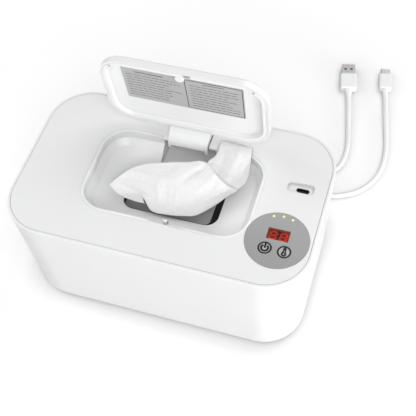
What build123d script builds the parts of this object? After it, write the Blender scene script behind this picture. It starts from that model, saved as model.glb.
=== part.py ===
from build123d import *
from math import asin, cos, degrees, hypot, pi, radians, sin, tan
import os

# Baby wipe warmer: a tapered box with an inner tub, a top cover that carries the heater, the
# electronics and a flip lid, and a charging cable that lies on the surface beside it.
# Frame: millimetres, +Z up, +X to the right along the width, -Y towards the user. The origin is
# the middle of the warmer's footprint, on the surface it stands on.

os.makedirs("parts", exist_ok=True)

# ---------------------------------------------------------------- driving dimensions
# Housing
housing_width = 220.0
housing_depth = 131.5
rim_height = 95.0  # rim plane above the surface
corner_radius = 32.5
base_inset = 3.5  # how far each side comes in from the rim to the base
base_corner_radius = 30.7
base_edge_radius = 2.4
rim_width = 2.0  # wall of the housing
rim_edge_radius = 0.8
housing_floor = 2.4
ledge_width = 2.2  # inner ledge that carries the tub
ledge_thickness = 2.0

# Feet
foot_height = 1.2  # below the housing
foot_radius = 6.0
foot_recess = 0.8
foot_inset_x = 35.0  # from the housing's sides to the feet's middles
foot_inset_y = 30.75
foot_clearance = 0.1

# Inner tub and the wipes in it
tub_clearance = 0.3
tub_wall = 1.6
tub_floor = 1.8
tub_floor_height = 6.0  # underside of the tub floor above the surface
tub_flange = 1.2
stack_gap_x = 8.25  # from the stack to the tub's wall, at the tub's floor
stack_gap_y = 7.0
stack_height = 28.0
stack_edge_radius = 4.0
wipe_stem_length = 30.0  # gathered wipe in the heater plate's slot
wipe_stem_width = 5.0
wipe_stem_shift = -5.0  # from the tray's middle
wipe_spread_length = 86.0
wipe_spread_width = 36.0
wipe_rise = 6.0  # above the rim plane
wipe_flap_width = 26.0
wipe_flap_thickness = 1.8
wipe_flap_back_gap = 4.5  # from the flap's edge to the hinge axis

# Top cover
seam_gap = 0.25
cover_skin = 2.2
seat_gap = 0.3
skirt_wall = 1.6
skirt_height = 25.0  # lower edge of the skirt below the rim plane
skirt_clearance = 0.5

# Tray in the cover and the funnel below it
tray_x = 1.0
tray_y = 0.3
tray_margin_x = 49.5  # rim left beside the tray, on average
tray_margin_y = 30.65
tray_radius = 18.5
tray_edge_radius = 1.4
tray_wall = 2.0
tray_straight = 6.5  # depth of the upright wall
tray_ledge = 4.8  # how far the sloped band below it comes in
tray_ledge_drop = 4.5
funnel_width_x = 24.5  # from the tray's sides to the opening
funnel_width_y = 16.1
opening_radius = 9.0
opening_drop = 18.0  # opening's edge below the rim plane

# Heater
seal_thickness = 1.5
seal_seat = 2.0  # how far the seal reaches under the funnel
seal_band = 4.6  # how far it shows inside the opening
seal_groove_width = 1.5
seal_groove_depth = 0.6
plate_thickness = 1.2
plate_reach_x = 34.0  # beyond the opening
plate_reach_y = 26.0
plate_radius = 14.0
plate_ledge = 4.0  # bearing on the cover underside
slot_length = 56.0
slot_width = 12.0
film_thickness = 0.3
film_margin = 3.0
film_window_margin = 5.0
pad_thickness = 1.3
fuse_radius = 1.9
fuse_length = 10.0
fuse_inset = 22.7  # from the plate's front edge to the fuse's middle
bead_radius = 1.4
bead_inset = 25.3  # from the plate's back edge
sensor_inset = 5.0  # from the plate's right edge

# Cover underside
underside_thickness = 2.0
underside_clearance = 0.3
boss_radius = 3.25
screw_radius = 1.5
screw_hole_radius = 1.7
screw_head_radius = 2.8
screw_head_height = 1.9
screw_length = 9.0
left_boss_inset_x = 10.9  # from inside the cover's skirt to the bosses' middles
left_boss_inset_y = 14.6
middle_boss_inset_y = 6.6
middle_boss_x = 41.0
right_boss_inset_x = 15.9
right_boss_inset_y = 7.6

# Lid and its hinge
lid_open_angle = 83.3
lid_gap = 0.45  # between the closed lid and the tray wall
lid_height = 5.5
lid_wall = 1.8
lid_edge_radius = 1.6
lid_corner_extra = 0.95
liner_clearance = 0.15
liner_rim = 2.7
liner_pan_depth = 2.6
liner_pan_radius = 1.4
hinge_setback = 9.75  # hinge axis behind the tray's back wall
hinge_drop = 4.0  # hinge axis below the rim plane
pin_radius = 1.2
pin_clearance = 0.06  # in the lid's webs
pin_seat_clearance = 0.02  # in the cover
barrel_width = 30.0
barrel_radius = 12.2
barrel_wall = 1.8
barrel_hub_radius = 3.6
barrel_end_angle = 259.0  # end of the barrel's shell, with the lid closed
web_end_angle = 275.0
web_thickness = 2.0
flap_thickness = 1.8
notch_shift = 1.0  # from the tray's middle
notch_width = 40.0
notch_depth = 12.4  # how far the notch's floor comes forward of the tray's back wall
notch_floor_gap = 1.0
notch_rim_setback = 1.4  # front of the rim that stays beside the barrel
barrel_side_gap = 0.7
barrel_back_gap = 1.0
pocket_wall = 1.6
pocket_back_gap = 2.0

# Catch, label and bumpers
catch_shift = 4.7  # from the tray's middle
catch_width = 3.4
catch_thickness = 2.0
catch_clearance = 0.2  # to the closed lid's wall
catch_drop = 2.6
catch_root_drop = 11.0
finger_notch_left = 5.3  # from the tray's middle
finger_notch_right = 7.8
finger_notch_cut = 1.4
finger_notch_drop = 9.0
catch_pocket_side = 0.9  # room beside the catch in the lid's pocket
catch_pocket_back = 0.5
label_side_margin = 12.2  # to the pan's wall
label_front_margin = 4.2
label_depth = 34.0
label_shift = -0.6  # from the tray's middle
label_thickness = 0.25
label_corner_radius = 0.8
bump_shift = -1.3  # from the tray's middle
bump_setback = 4.1  # from the pan's front wall to the bump's middle
bump_radius = 3.2
bump_height = 1.9
bumper_radius = 0.8
bumper_height = 0.5
bumper_angle = 53.0  # place along the rim's round corner

# Control panel
panel_from_right = 26.0  # from the housing's rim to the panel's middle
panel_from_front = 37.75
panel_radius = 22.1
panel_thickness = 0.6
window_shift_x = -0.1  # from the panel's middle
window_shift_y = 4.4
window_width = 15.3
window_depth = 8.9
window_thickness = 1.8
window_clearance = 0.1
display_height = 7.2
display_width = 15.0
display_depth = 10.0
digit_height = 6.6
digit_width = 3.8
digit_pitch = 6.6
digit_stroke = 0.9
digit_thickness = 0.15
key_spacing = 13.3
key_shift_x = 0.25  # from the panel's middle
key_shift_y = -7.7
key_radius = 4.6
key_hole_radius = 4.85
key_height = 3.1
key_flange_radius = 5.6
key_flange_height = 0.8
key_flange_gap = 0.2
key_stem_radius = 1.5
key_sink = 0.1  # key's top below the panel
key_travel = 0.4
switch_size = 6.0
switch_height = 3.4
plunger_radius = 1.75
plunger_clearance = 0.2
plunger_depth = 1.6
light_radius = 0.95
light_clearance = 0.1
light_pitch = 6.6
light_shift_y = 18.2  # from the panel's middle
light_rise = 1.2  # the middle light stands further back
led_length = 2.8
led_width = 2.0
led_height = 0.8
top_sink = 0.1

# Charging socket
socket_shift = 1.6  # from the port's middle
socket_slot_length = 9.5
socket_slot_width = 3.7
receptacle_length = 8.94
receptacle_width = 3.26
receptacle_wall = 0.3
receptacle_depth = 5.4
tongue_length = 6.7
tongue_thickness = 0.7
port_from_right = 20.6
port_from_back = 48.45
port_length = 19.0
port_width = 9.0
port_radius = 3.2
port_depth = 3.0
port_wall = 1.6

# Circuit board
board_drop = 9.4  # board's top below the rim plane
board_thickness = 1.6
board_left_of_panel = 17.0
board_right_of_panel = 13.0
board_before_panel = 14.0
board_behind_port = 10.7
board_radius = 1.5
board_boss_radius = 3.0
pilot_clearance = 0.05  # round the screws' threads
board_screw_radius = 1.1
board_screw_head_radius = 2.2
board_screw_head_height = 1.4
board_screw_length = 6.0
board_boss_inset = 3.6
board_boss_right_inset = 3.0
board_boss_front_shift = 10.0  # behind the panel's middle
board_boss_right_setback = 17.3  # in front of the port's middle
chip_size = 6.0
chip_height = 1.7
transistor_size = 6.4
transistor_height = 2.3
capacitor_radius = 3.15
capacitor_height = 5.4
lead_radius = 0.7
lead_bend = 2.4
lead_step = 8.0  # spacing of the leads' ends along x

# Charging cable
cord_radius = 2.0
plug_axis_height = 4.0
usb_a_x = 89.5  # where the shell leaves the overmould
usb_a_y = 212.8
usb_a_lean = 12.1  # plug's turn from +Y towards -X, degrees
usb_a_shell_length = 12.3
usb_a_shell_width = 12.0
usb_a_shell_height = 4.5
usb_a_shell_wall = 0.35
usb_a_window = 2.3
usb_a_window_pitch = 5.4
usb_a_window_from_mouth = 5.6
usb_a_tongue_height = 1.9
usb_a_overmould_width = 14.2
usb_a_overmould_height = 7.6
usb_c_x = 121.6
usb_c_y = 220.9
usb_c_lean = 10.8
usb_c_shell_length = 7.2
usb_c_shell_width = 8.4
usb_c_shell_height = 2.5
usb_c_shell_wall = 0.3
usb_c_overmould_width = 10.4
usb_c_overmould_height = 6.4
overmould_length = 16.8
overmould_radius = 1.6
relief_length = 8.6
relief_root_radius = 2.9
relief_tip_radius = 2.2
coil_x = 20.0
coil_y = 99.0
coil_radius = 22.0  # middle of the turns
coil_turns_across = 2
coil_turns_high = 2
first_run = 15.0  # straight stretch of cord behind each strain relief


# ---------------------------------------------------------------- shared geometry
def housing_draft(z):
    """How far the housing's sides have come in from the rim at height z."""
    return base_inset * (rim_height - z) / (rim_height - foot_height)


def housing_corner(z):
    """Corner radius of the housing's outer outline at height z."""
    slope = (corner_radius - base_corner_radius) / (rim_height - foot_height)
    return corner_radius - slope * (rim_height - z)


def outline(inset, radius):
    """The housing's rim outline, moved inwards by inset."""
    RectangleRounded(housing_width - 2 * inset, housing_depth - 2 * inset, radius)


def level(z, x=0.0, y=0.0):
    """Horizontal plane at height z with its origin at x, y."""
    return Plane(origin=(x, y, z), x_dir=(1, 0, 0), z_dir=(0, 0, 1))


def across(x, y, z):
    """Upright plane across the width, with its origin at x, y, z."""
    return Plane(origin=(x, y, z), x_dir=(0, 1, 0), z_dir=(1, 0, 0))


def tray_level(drop):
    """Horizontal plane on the tray's middle, drop below the rim plane."""
    return level(rim_height - drop, tray_x, tray_y)


def block(x_low, x_high, y_low, y_high, z_low, z_high, mode=Mode.ADD):
    """Box between two corners, in the current part."""
    with BuildSketch(level(z_low, (x_low + x_high) / 2, (y_low + y_high) / 2)) as base:
        Rectangle(x_high - x_low, y_high - y_low)
    extrude(base.sketch, amount=z_high - z_low, mode=mode)


def corner_points(x, y):
    """The four places at plus and minus x and y."""
    return [(-x, -y), (x, -y), (-x, y), (x, y)]


tray_width = housing_width - 2 * tray_margin_x
tray_depth = housing_depth - 2 * tray_margin_y
opening_width = tray_width - 2 * funnel_width_x
opening_depth = tray_depth - 2 * funnel_width_y
plate_width = opening_width + 2 * plate_reach_x
plate_depth = opening_depth + 2 * plate_reach_y
tray_back = tray_y + tray_depth / 2
tray_front = tray_y - tray_depth / 2

flange_top = rim_height - cover_skin - seat_gap
ledge_top = flange_top - tub_flange
ledge_inset = rim_width + ledge_width
tub_inset = ledge_inset + tub_clearance  # tub's outer wall at the rim
cover_inset = rim_width + seam_gap
skirt_bottom = rim_height - skirt_height
skirt_inset = tub_inset + tub_wall + housing_draft(skirt_bottom) + skirt_clearance
skirt_inner_inset = skirt_inset + skirt_wall
skin_bottom = rim_height - cover_skin

funnel_bottom = rim_height - opening_drop - tray_wall
plate_top = funnel_bottom - seal_thickness
plate_bottom = plate_top - plate_thickness
underside_bottom = plate_bottom - underside_thickness
board_top = rim_height - board_drop
board_bottom = board_top - board_thickness
panel_level = rim_height - top_sink

ledge_drop = tray_straight + tray_ledge_drop
band_width = tray_width - 2 * tray_ledge
band_depth = tray_depth - 2 * tray_ledge
band_radius = tray_radius - tray_ledge

panel_x = housing_width / 2 - panel_from_right
panel_y = panel_from_front - housing_depth / 2
window_x = panel_x + window_shift_x
window_y = panel_y + window_shift_y
port_x = housing_width / 2 - port_from_right
port_y = housing_depth / 2 - port_from_back
socket_x = port_x + socket_shift
board_left = panel_x - board_left_of_panel
board_right = panel_x + board_right_of_panel
board_front = panel_y - board_before_panel
board_back = port_y + board_behind_port

skirt_half_width = housing_width / 2 - skirt_inner_inset
skirt_half_depth = housing_depth / 2 - skirt_inner_inset
left_boss_x = left_boss_inset_x - skirt_half_width
left_boss_y = skirt_half_depth - left_boss_inset_y
right_boss_x = skirt_half_width - right_boss_inset_x
right_boss_y = skirt_half_depth - right_boss_inset_y
frame_bosses = corner_points(middle_boss_x, skirt_half_depth - middle_boss_inset_y)
frame_bosses += [(left_boss_x, -left_boss_y), (left_boss_x, left_boss_y)]
frame_bosses += [(right_boss_x, -right_boss_y), (right_boss_x, right_boss_y)]
board_bosses = [
    (board_left + board_boss_inset, panel_y + board_boss_front_shift),
    (board_left + board_boss_inset, board_back - board_boss_inset),
    (board_right - board_boss_right_inset, port_y - board_boss_right_setback),
]
key_y = panel_y + key_shift_y
key_places = {
    "power": (panel_x + key_shift_x - key_spacing / 2, key_y),
    "temperature": (panel_x + key_shift_x + key_spacing / 2, key_y),
}
light_y = panel_y + light_shift_y
light_places = [
    (window_x - light_pitch, light_y),
    (window_x, light_y + light_rise),
    (window_x + light_pitch, light_y),
]

# ---------------------------------------------------------------- housing
foot_pitch_x = housing_width - 2 * foot_inset_x
foot_pitch_y = housing_depth - 2 * foot_inset_y

with BuildPart() as outer_housing:
    with BuildSketch(level(foot_height)):
        outline(base_inset, base_corner_radius)
    with BuildSketch(level(rim_height)):
        outline(0, corner_radius)
    loft()
    fillet(outer_housing.faces().sort_by(Axis.Z)[0].edges(), base_edge_radius)
    fillet(outer_housing.faces().sort_by(Axis.Z)[-1].edges(), rim_edge_radius)
    # room for the tub below the ledge
    floor_top = foot_height + housing_floor
    ledge_bottom = ledge_top - ledge_thickness
    with BuildSketch(level(floor_top)):
        outline(housing_draft(floor_top) + rim_width, housing_corner(floor_top) - rim_width)
    with BuildSketch(level(ledge_bottom)):
        outline(housing_draft(ledge_bottom) + rim_width, housing_corner(ledge_bottom) - rim_width)
    loft(mode=Mode.SUBTRACT)
    with BuildSketch(level(ledge_bottom)):
        outline(ledge_inset, corner_radius - ledge_inset)
    extrude(amount=ledge_top - ledge_bottom, mode=Mode.SUBTRACT)
    with BuildSketch(level(ledge_top)):
        outline(rim_width, corner_radius - rim_width)
    extrude(amount=rim_height - ledge_top, mode=Mode.SUBTRACT)
    with BuildSketch(level(foot_height)):
        with GridLocations(foot_pitch_x, foot_pitch_y, 2, 2):
            Circle(foot_radius + foot_clearance)
    extrude(amount=foot_recess, mode=Mode.SUBTRACT)

with BuildPart() as feet:
    with BuildSketch(level(0)):
        with GridLocations(foot_pitch_x, foot_pitch_y, 2, 2):
            Circle(foot_radius)
    extrude(amount=foot_height + foot_recess)

with BuildPart() as inner_tub:
    tub_floor_top = tub_floor_height + tub_floor
    with BuildSketch(level(tub_floor_height)):
        inset = tub_inset + housing_draft(tub_floor_height)
        outline(inset, corner_radius - inset)
    with BuildSketch(level(ledge_top)):
        outline(tub_inset, corner_radius - tub_inset)
    loft()
    with BuildSketch(level(ledge_top)):
        flange_inset = rim_width + tub_clearance
        outline(flange_inset, corner_radius - flange_inset)
    extrude(amount=tub_flange)
    with BuildSketch(level(tub_floor_top)):
        inset = tub_inset + tub_wall + housing_draft(tub_floor_top)
        outline(inset, corner_radius - inset)
    with BuildSketch(level(flange_top)):
        outline(tub_inset + tub_wall, corner_radius - tub_inset - tub_wall)
    loft(mode=Mode.SUBTRACT)

stack_inset_x = tub_inset + tub_wall + housing_draft(tub_floor_top) + stack_gap_x
stack_inset_y = tub_inset + tub_wall + housing_draft(tub_floor_top) + stack_gap_y
with BuildPart() as wipe_stack:
    with BuildSketch(level(tub_floor_top)):
        RectangleRounded(
            housing_width - 2 * stack_inset_x, housing_depth - 2 * stack_inset_y, stack_edge_radius
        )
    extrude(amount=stack_height)
    fillet(wipe_stack.faces().sort_by(Axis.Z)[-1].edges(), stack_edge_radius / 2)

# ---------------------------------------------------------------- top cover
lid_width = tray_width - 2 * lid_gap
lid_depth = tray_depth - 2 * lid_gap
lid_radius = tray_radius + lid_corner_extra
lid_back = tray_back - lid_gap
hinge_y = tray_back + hinge_setback
hinge_z = rim_height - hinge_drop
notch_left = tray_x + notch_shift - notch_width / 2
notch_right = tray_x + notch_shift + notch_width / 2
notch_front = tray_back - notch_depth
notch_floor = hinge_z - barrel_radius - notch_floor_gap
barrel_left = tray_x - barrel_width / 2
barrel_right = tray_x + barrel_width / 2
flap_reach = barrel_hub_radius  # flap's end behind the hinge axis
flap_top = hinge_drop - top_sink
barrel_sweep = hypot(flap_reach, flap_top)
barrel_cut_back = hinge_y + barrel_sweep + barrel_back_gap
pocket_back = barrel_cut_back + pocket_back_gap
catch_x = tray_x + catch_shift
catch_front = tray_front + lid_gap + lid_wall + catch_clearance

with BuildPart() as top_cover:
    with BuildSketch(level(skin_bottom)):
        outline(cover_inset, corner_radius - cover_inset)
    extrude(amount=cover_skin)
    with BuildSketch(level(skirt_bottom)):
        outline(skirt_inset, corner_radius - skirt_inset)
        RectangleRounded(
            housing_width - 2 * skirt_inner_inset,
            housing_depth - 2 * skirt_inner_inset,
            corner_radius - skirt_inner_inset,
            mode=Mode.SUBTRACT,
        )
    extrude(amount=skirt_height - cover_skin)
    # outside of the tray, its sloped band and the funnel
    with BuildSketch(tray_level(tray_straight + tray_wall / 2)):
        RectangleRounded(tray_width + 2 * tray_wall, tray_depth + 2 * tray_wall, tray_radius + tray_wall)
    extrude(amount=tray_straight + tray_wall / 2)
    with BuildSketch(tray_level(tray_straight + tray_wall / 2)):
        RectangleRounded(tray_width + 2 * tray_wall, tray_depth + 2 * tray_wall, tray_radius + tray_wall)
    with BuildSketch(tray_level(ledge_drop + tray_wall * 0.75)):
        RectangleRounded(band_width + 2 * tray_wall, band_depth + 2 * tray_wall, band_radius + tray_wall)
    loft()
    with BuildSketch(tray_level(ledge_drop + tray_wall * 0.75)):
        RectangleRounded(band_width + 2 * tray_wall, band_depth + 2 * tray_wall, band_radius + tray_wall)
    with BuildSketch(tray_level(opening_drop + tray_wall)):
        RectangleRounded(
            opening_width + 2 * seal_seat, opening_depth + 2 * seal_seat, opening_radius + seal_seat
        )
    loft()
    # pocket behind the tray for the lid's barrel, and the charging port's recess
    block(
        notch_left - pocket_wall,
        notch_right + pocket_wall,
        notch_front + pocket_wall,
        pocket_back + pocket_wall,
        notch_floor - pocket_wall,
        skin_bottom,
    )
    with BuildSketch(level(rim_height - port_depth - port_wall, port_x, port_y)):
        RectangleRounded(port_length + 2 * port_wall, port_width + 2 * port_wall, port_radius + port_wall)
    extrude(amount=port_depth + port_wall - cover_skin)
    # bosses for the underside and the circuit board
    with BuildSketch(level(plate_bottom)):
        with Locations(*frame_bosses):
            Circle(boss_radius)
    extrude(amount=skin_bottom - plate_bottom)
    with BuildSketch(level(board_top)):
        with Locations(*board_bosses):
            Circle(board_boss_radius)
    extrude(amount=skin_bottom - board_top)
    # inside of the tray, its sloped band and the funnel
    with BuildSketch(tray_level(tray_straight)):
        RectangleRounded(tray_width, tray_depth, tray_radius)
    extrude(amount=tray_straight, mode=Mode.SUBTRACT)
    fillet(
        top_cover.faces().filter_by(Axis.Z).sort_by(Axis.Z)[-1].inner_wires()[0].edges(),
        tray_edge_radius,
    )
    with BuildSketch(tray_level(tray_straight)):
        RectangleRounded(tray_width, tray_depth, tray_radius)
    with BuildSketch(tray_level(ledge_drop)):
        RectangleRounded(band_width, band_depth, band_radius)
    loft(mode=Mode.SUBTRACT)
    with BuildSketch(tray_level(ledge_drop)):
        RectangleRounded(band_width, band_depth, band_radius)
    with BuildSketch(tray_level(opening_drop)):
        RectangleRounded(opening_width, opening_depth, opening_radius)
    loft(mode=Mode.SUBTRACT)
    with BuildSketch(tray_level(opening_drop + tray_wall)):
        RectangleRounded(opening_width, opening_depth, opening_radius)
    extrude(amount=tray_wall, mode=Mode.SUBTRACT)
    # hinge notch: pocket, open front and the slot that the barrel turns through
    block(notch_left, notch_right, notch_front, pocket_back, notch_floor, skin_bottom, Mode.SUBTRACT)
    block(
        notch_left,
        notch_right,
        notch_front,
        tray_back - notch_rim_setback,
        notch_floor,
        rim_height,
        Mode.SUBTRACT,
    )
    block(
        barrel_left - barrel_side_gap,
        barrel_right + barrel_side_gap,
        notch_front,
        barrel_cut_back,
        notch_floor,
        rim_height,
        Mode.SUBTRACT,
    )
    with BuildSketch(across(notch_left - pocket_wall, hinge_y, hinge_z)):
        Circle(pin_radius + pin_seat_clearance)
    extrude(amount=notch_width + 2 * pocket_wall, mode=Mode.SUBTRACT)
    # finger notch in the tray's front wall, with the catch that holds the lid
    block(
        tray_x - finger_notch_left,
        tray_x + finger_notch_right,
        tray_front - finger_notch_cut,
        catch_front,
        rim_height - finger_notch_drop,
        rim_height,
        Mode.SUBTRACT,
    )
    block(
        catch_x - catch_width / 2,
        catch_x + catch_width / 2,
        catch_front,
        catch_front + catch_thickness,
        rim_height - catch_root_drop,
        rim_height - catch_drop,
    )
    # control panel: recess, window, key and light holes
    with BuildSketch(level(rim_height - panel_thickness, panel_x, panel_y)):
        Circle(panel_radius + window_clearance)
    extrude(amount=panel_thickness, mode=Mode.SUBTRACT)
    with BuildSketch(level(skin_bottom)):
        with Locations((window_x, window_y)):
            Rectangle(window_width, window_depth)
        with Locations(*key_places.values()):
            Circle(key_hole_radius)
        with Locations(*light_places):
            Circle(light_radius + light_clearance)
    extrude(amount=cover_skin, mode=Mode.SUBTRACT)
    # charging port
    with BuildSketch(level(rim_height - port_depth, port_x, port_y)):
        RectangleRounded(port_length, port_width, port_radius)
    extrude(amount=port_depth, mode=Mode.SUBTRACT)
    with BuildSketch(level(rim_height - port_depth - port_wall, socket_x, port_y)):
        SlotOverall(socket_slot_length, socket_slot_width)
    extrude(amount=port_wall, mode=Mode.SUBTRACT)
    # pilot holes
    with BuildSketch(level(plate_bottom)):
        with Locations(*frame_bosses):
            Circle(screw_radius + pilot_clearance)
    extrude(amount=screw_length + pilot_clearance, mode=Mode.SUBTRACT)
    with BuildSketch(level(board_top)):
        with Locations(*board_bosses):
            Circle(board_screw_radius + pilot_clearance)
    extrude(amount=board_screw_length - board_thickness + pilot_clearance, mode=Mode.SUBTRACT)

with BuildPart() as hinge_pin:
    with BuildSketch(across(notch_left - pocket_wall, hinge_y, hinge_z)):
        Circle(pin_radius)
    extrude(amount=notch_width + 2 * pocket_wall)

# ---------------------------------------------------------------- heater and underside
with BuildPart() as cover_underside:
    underside_inset = skirt_inner_inset + underside_clearance
    with BuildSketch(level(underside_bottom)):
        outline(underside_inset, corner_radius - underside_inset)
        with Locations((tray_x, tray_y)):
            RectangleRounded(
                plate_width - 2 * plate_ledge,
                plate_depth - 2 * plate_ledge,
                plate_radius - plate_ledge,
                mode=Mode.SUBTRACT,
            )
        with Locations(*frame_bosses):
            Circle(screw_hole_radius, mode=Mode.SUBTRACT)
    extrude(amount=underside_thickness)

with BuildPart() as underside_screws:
    with BuildSketch(level(underside_bottom - screw_head_height)):
        with Locations(*frame_bosses):
            Circle(screw_head_radius)
    extrude(amount=screw_head_height)
    with BuildSketch(level(underside_bottom)):
        with Locations(*frame_bosses):
            Circle(screw_radius)
    extrude(amount=underside_thickness + screw_length)

with BuildPart() as heater_plate:
    with BuildSketch(level(plate_bottom, tray_x, tray_y)):
        RectangleRounded(plate_width, plate_depth, plate_radius)
        SlotOverall(slot_length, slot_width, mode=Mode.SUBTRACT)
    extrude(amount=plate_thickness)

with BuildPart() as plate_seal:
    seal_inner_width = opening_width - 2 * seal_band
    seal_inner_depth = opening_depth - 2 * seal_band
    with BuildSketch(level(plate_top, tray_x, tray_y)):
        RectangleRounded(
            opening_width + 2 * seal_seat, opening_depth + 2 * seal_seat, opening_radius + seal_seat
        )
        RectangleRounded(
            seal_inner_width, seal_inner_depth, opening_radius - seal_band, mode=Mode.SUBTRACT
        )
    extrude(amount=seal_thickness)
    groove_inset = (seal_band - seal_groove_width) / 2
    with BuildSketch(level(plate_top + seal_thickness - seal_groove_depth, tray_x, tray_y)):
        RectangleRounded(
            opening_width - 2 * groove_inset, opening_depth - 2 * groove_inset, opening_radius - groove_inset
        )
        RectangleRounded(
            seal_inner_width + 2 * groove_inset,
            seal_inner_depth + 2 * groove_inset,
            opening_radius - seal_band + groove_inset,
            mode=Mode.SUBTRACT,
        )
    extrude(amount=seal_groove_depth, mode=Mode.SUBTRACT)

film_inner_width = opening_width + 2 * seal_seat + 2 * film_window_margin
film_inner_depth = opening_depth + 2 * seal_seat + 2 * film_window_margin
film_inner_radius = opening_radius + seal_seat + film_window_margin


def heater_ring(z, thickness, margin):
    """Flat ring on the heater plate, margin inside the plate's edge."""
    with BuildSketch(level(z, tray_x, tray_y)) as ring:
        RectangleRounded(plate_width - 2 * margin, plate_depth - 2 * margin, plate_radius - margin)
        RectangleRounded(film_inner_width, film_inner_depth, film_inner_radius, mode=Mode.SUBTRACT)
    extrude(ring.sketch, amount=thickness)


sensor_x = tray_x + plate_width / 2 - sensor_inset
fuse_y = tray_y - plate_depth / 2 + fuse_inset
bead_y = tray_y + plate_depth / 2 - bead_inset
pad_margin = sensor_inset + fuse_radius + film_margin
with BuildPart() as heater_film:
    heater_ring(plate_top, film_thickness, film_margin)

with BuildPart() as insulation_pad:
    heater_ring(plate_top + film_thickness, pad_thickness, pad_margin)

film_top = plate_top + film_thickness
with BuildPart() as thermal_fuse:
    with BuildSketch(
        Plane(
            origin=(sensor_x, fuse_y - fuse_length / 2, film_top + fuse_radius),
            x_dir=(1, 0, 0),
            z_dir=(0, 1, 0),
        )
    ):
        Circle(fuse_radius)
    extrude(amount=fuse_length)

with BuildPart() as thermistor:
    with BuildSketch(level(film_top, sensor_x, bead_y)):
        Circle(bead_radius)
    extrude(amount=2 * bead_radius)
    fillet(thermistor.faces().sort_by(Axis.Z)[-1].edges(), bead_radius * 0.6)

# ---------------------------------------------------------------- circuit board
with BuildPart() as circuit_board:
    board_middle_x = (board_left + board_right) / 2
    board_middle_y = (board_front + board_back) / 2
    with BuildSketch(level(board_bottom)):
        with Locations((board_middle_x, board_middle_y)):
            RectangleRounded(board_right - board_left, board_back - board_front, board_radius)
        with Locations(*board_bosses):
            Circle(board_screw_radius + pilot_clearance, mode=Mode.SUBTRACT)
    extrude(amount=board_thickness)

with BuildPart() as board_screws:
    with BuildSketch(level(board_bottom - board_screw_head_height)):
        with Locations(*board_bosses):
            Circle(board_screw_head_radius)
    extrude(amount=board_screw_head_height)
    with BuildSketch(level(board_bottom)):
        with Locations(*board_bosses):
            Circle(board_screw_radius)
    extrude(amount=board_screw_length)

with BuildPart() as board_parts:
    with BuildSketch(level(board_bottom, panel_x, port_y - 1.5 * chip_size)):
        Rectangle(chip_size, chip_size)
    extrude(amount=-chip_height)
    with BuildSketch(level(board_bottom, panel_x - 1.25 * transistor_size, panel_y)):
        Rectangle(transistor_size, transistor_size)
    extrude(amount=-transistor_height)
    with BuildSketch(level(board_bottom, panel_x + 1.5 * capacitor_radius, panel_y)):
        Circle(capacitor_radius)
    extrude(amount=-capacitor_height)

with BuildPart() as usb_c_receptacle:
    receptacle_top = rim_height - port_depth - top_sink
    with BuildSketch(level(board_top, socket_x, port_y)):
        SlotOverall(receptacle_length, receptacle_width)
    extrude(amount=receptacle_top - board_top)
    with BuildSketch(level(receptacle_top - receptacle_depth, socket_x, port_y)):
        SlotOverall(receptacle_length - 2 * receptacle_wall, receptacle_width - 2 * receptacle_wall)
        Rectangle(tongue_length, tongue_thickness, mode=Mode.SUBTRACT)
    extrude(amount=receptacle_depth, mode=Mode.SUBTRACT)
    block(
        socket_x - tongue_length / 2,
        socket_x + tongue_length / 2,
        port_y - tongue_thickness / 2,
        port_y + tongue_thickness / 2,
        receptacle_top - 4 * tongue_thickness / 3,
        receptacle_top,
        Mode.SUBTRACT,
    )

with BuildPart() as display_module:
    with BuildSketch(level(board_top, window_x, window_y)):
        Rectangle(display_width, display_depth)
    extrude(amount=display_height)

display_top = board_top + display_height
with BuildPart() as display_digits:
    with BuildSketch(level(display_top, window_x, window_y)):
        with GridLocations(digit_pitch, 0, 2, 1):
            with GridLocations(0, (digit_height - digit_stroke) / 2, 1, 3):
                Rectangle(digit_width - 2 * digit_stroke, digit_stroke)
            with GridLocations(digit_width - digit_stroke, digit_height / 2, 2, 2):
                Rectangle(digit_stroke, digit_height / 2 - digit_stroke)
    extrude(amount=digit_thickness)

with BuildPart() as display_window:
    lens_bottom = panel_level - window_thickness
    with BuildSketch(level(lens_bottom, window_x, window_y)):
        Rectangle(window_width - 2 * window_clearance, window_depth - 2 * window_clearance)
    extrude(amount=window_thickness)

with BuildPart() as status_leds:
    with BuildSketch(level(board_top)):
        with Locations(*light_places):
            Rectangle(led_length, led_width)
    extrude(amount=led_height)

with BuildPart() as light_pipes:
    with BuildSketch(level(board_top + led_height)):
        with Locations(*light_places):
            Circle(light_radius)
    extrude(amount=panel_level - board_top - led_height)

with BuildPart() as panel_overlay:
    with BuildSketch(level(rim_height - panel_thickness)):
        with Locations((panel_x, panel_y)):
            Circle(panel_radius)
        with Locations((window_x, window_y)):
            Rectangle(window_width, window_depth, mode=Mode.SUBTRACT)
        with Locations(*key_places.values()):
            Circle(key_hole_radius, mode=Mode.SUBTRACT)
        with Locations(*light_places):
            Circle(light_radius + light_clearance, mode=Mode.SUBTRACT)
    extrude(amount=panel_thickness)

with BuildPart() as key_switches:
    with BuildSketch(level(board_top)):
        with Locations(*key_places.values()):
            Rectangle(switch_size, switch_size)
    extrude(amount=switch_height)
    with BuildSketch(level(board_top + switch_height - plunger_depth - key_travel - seat_gap)):
        with Locations(*key_places.values()):
            Circle(plunger_radius + plunger_clearance)
    extrude(amount=plunger_depth + key_travel + seat_gap, mode=Mode.SUBTRACT)

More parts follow.
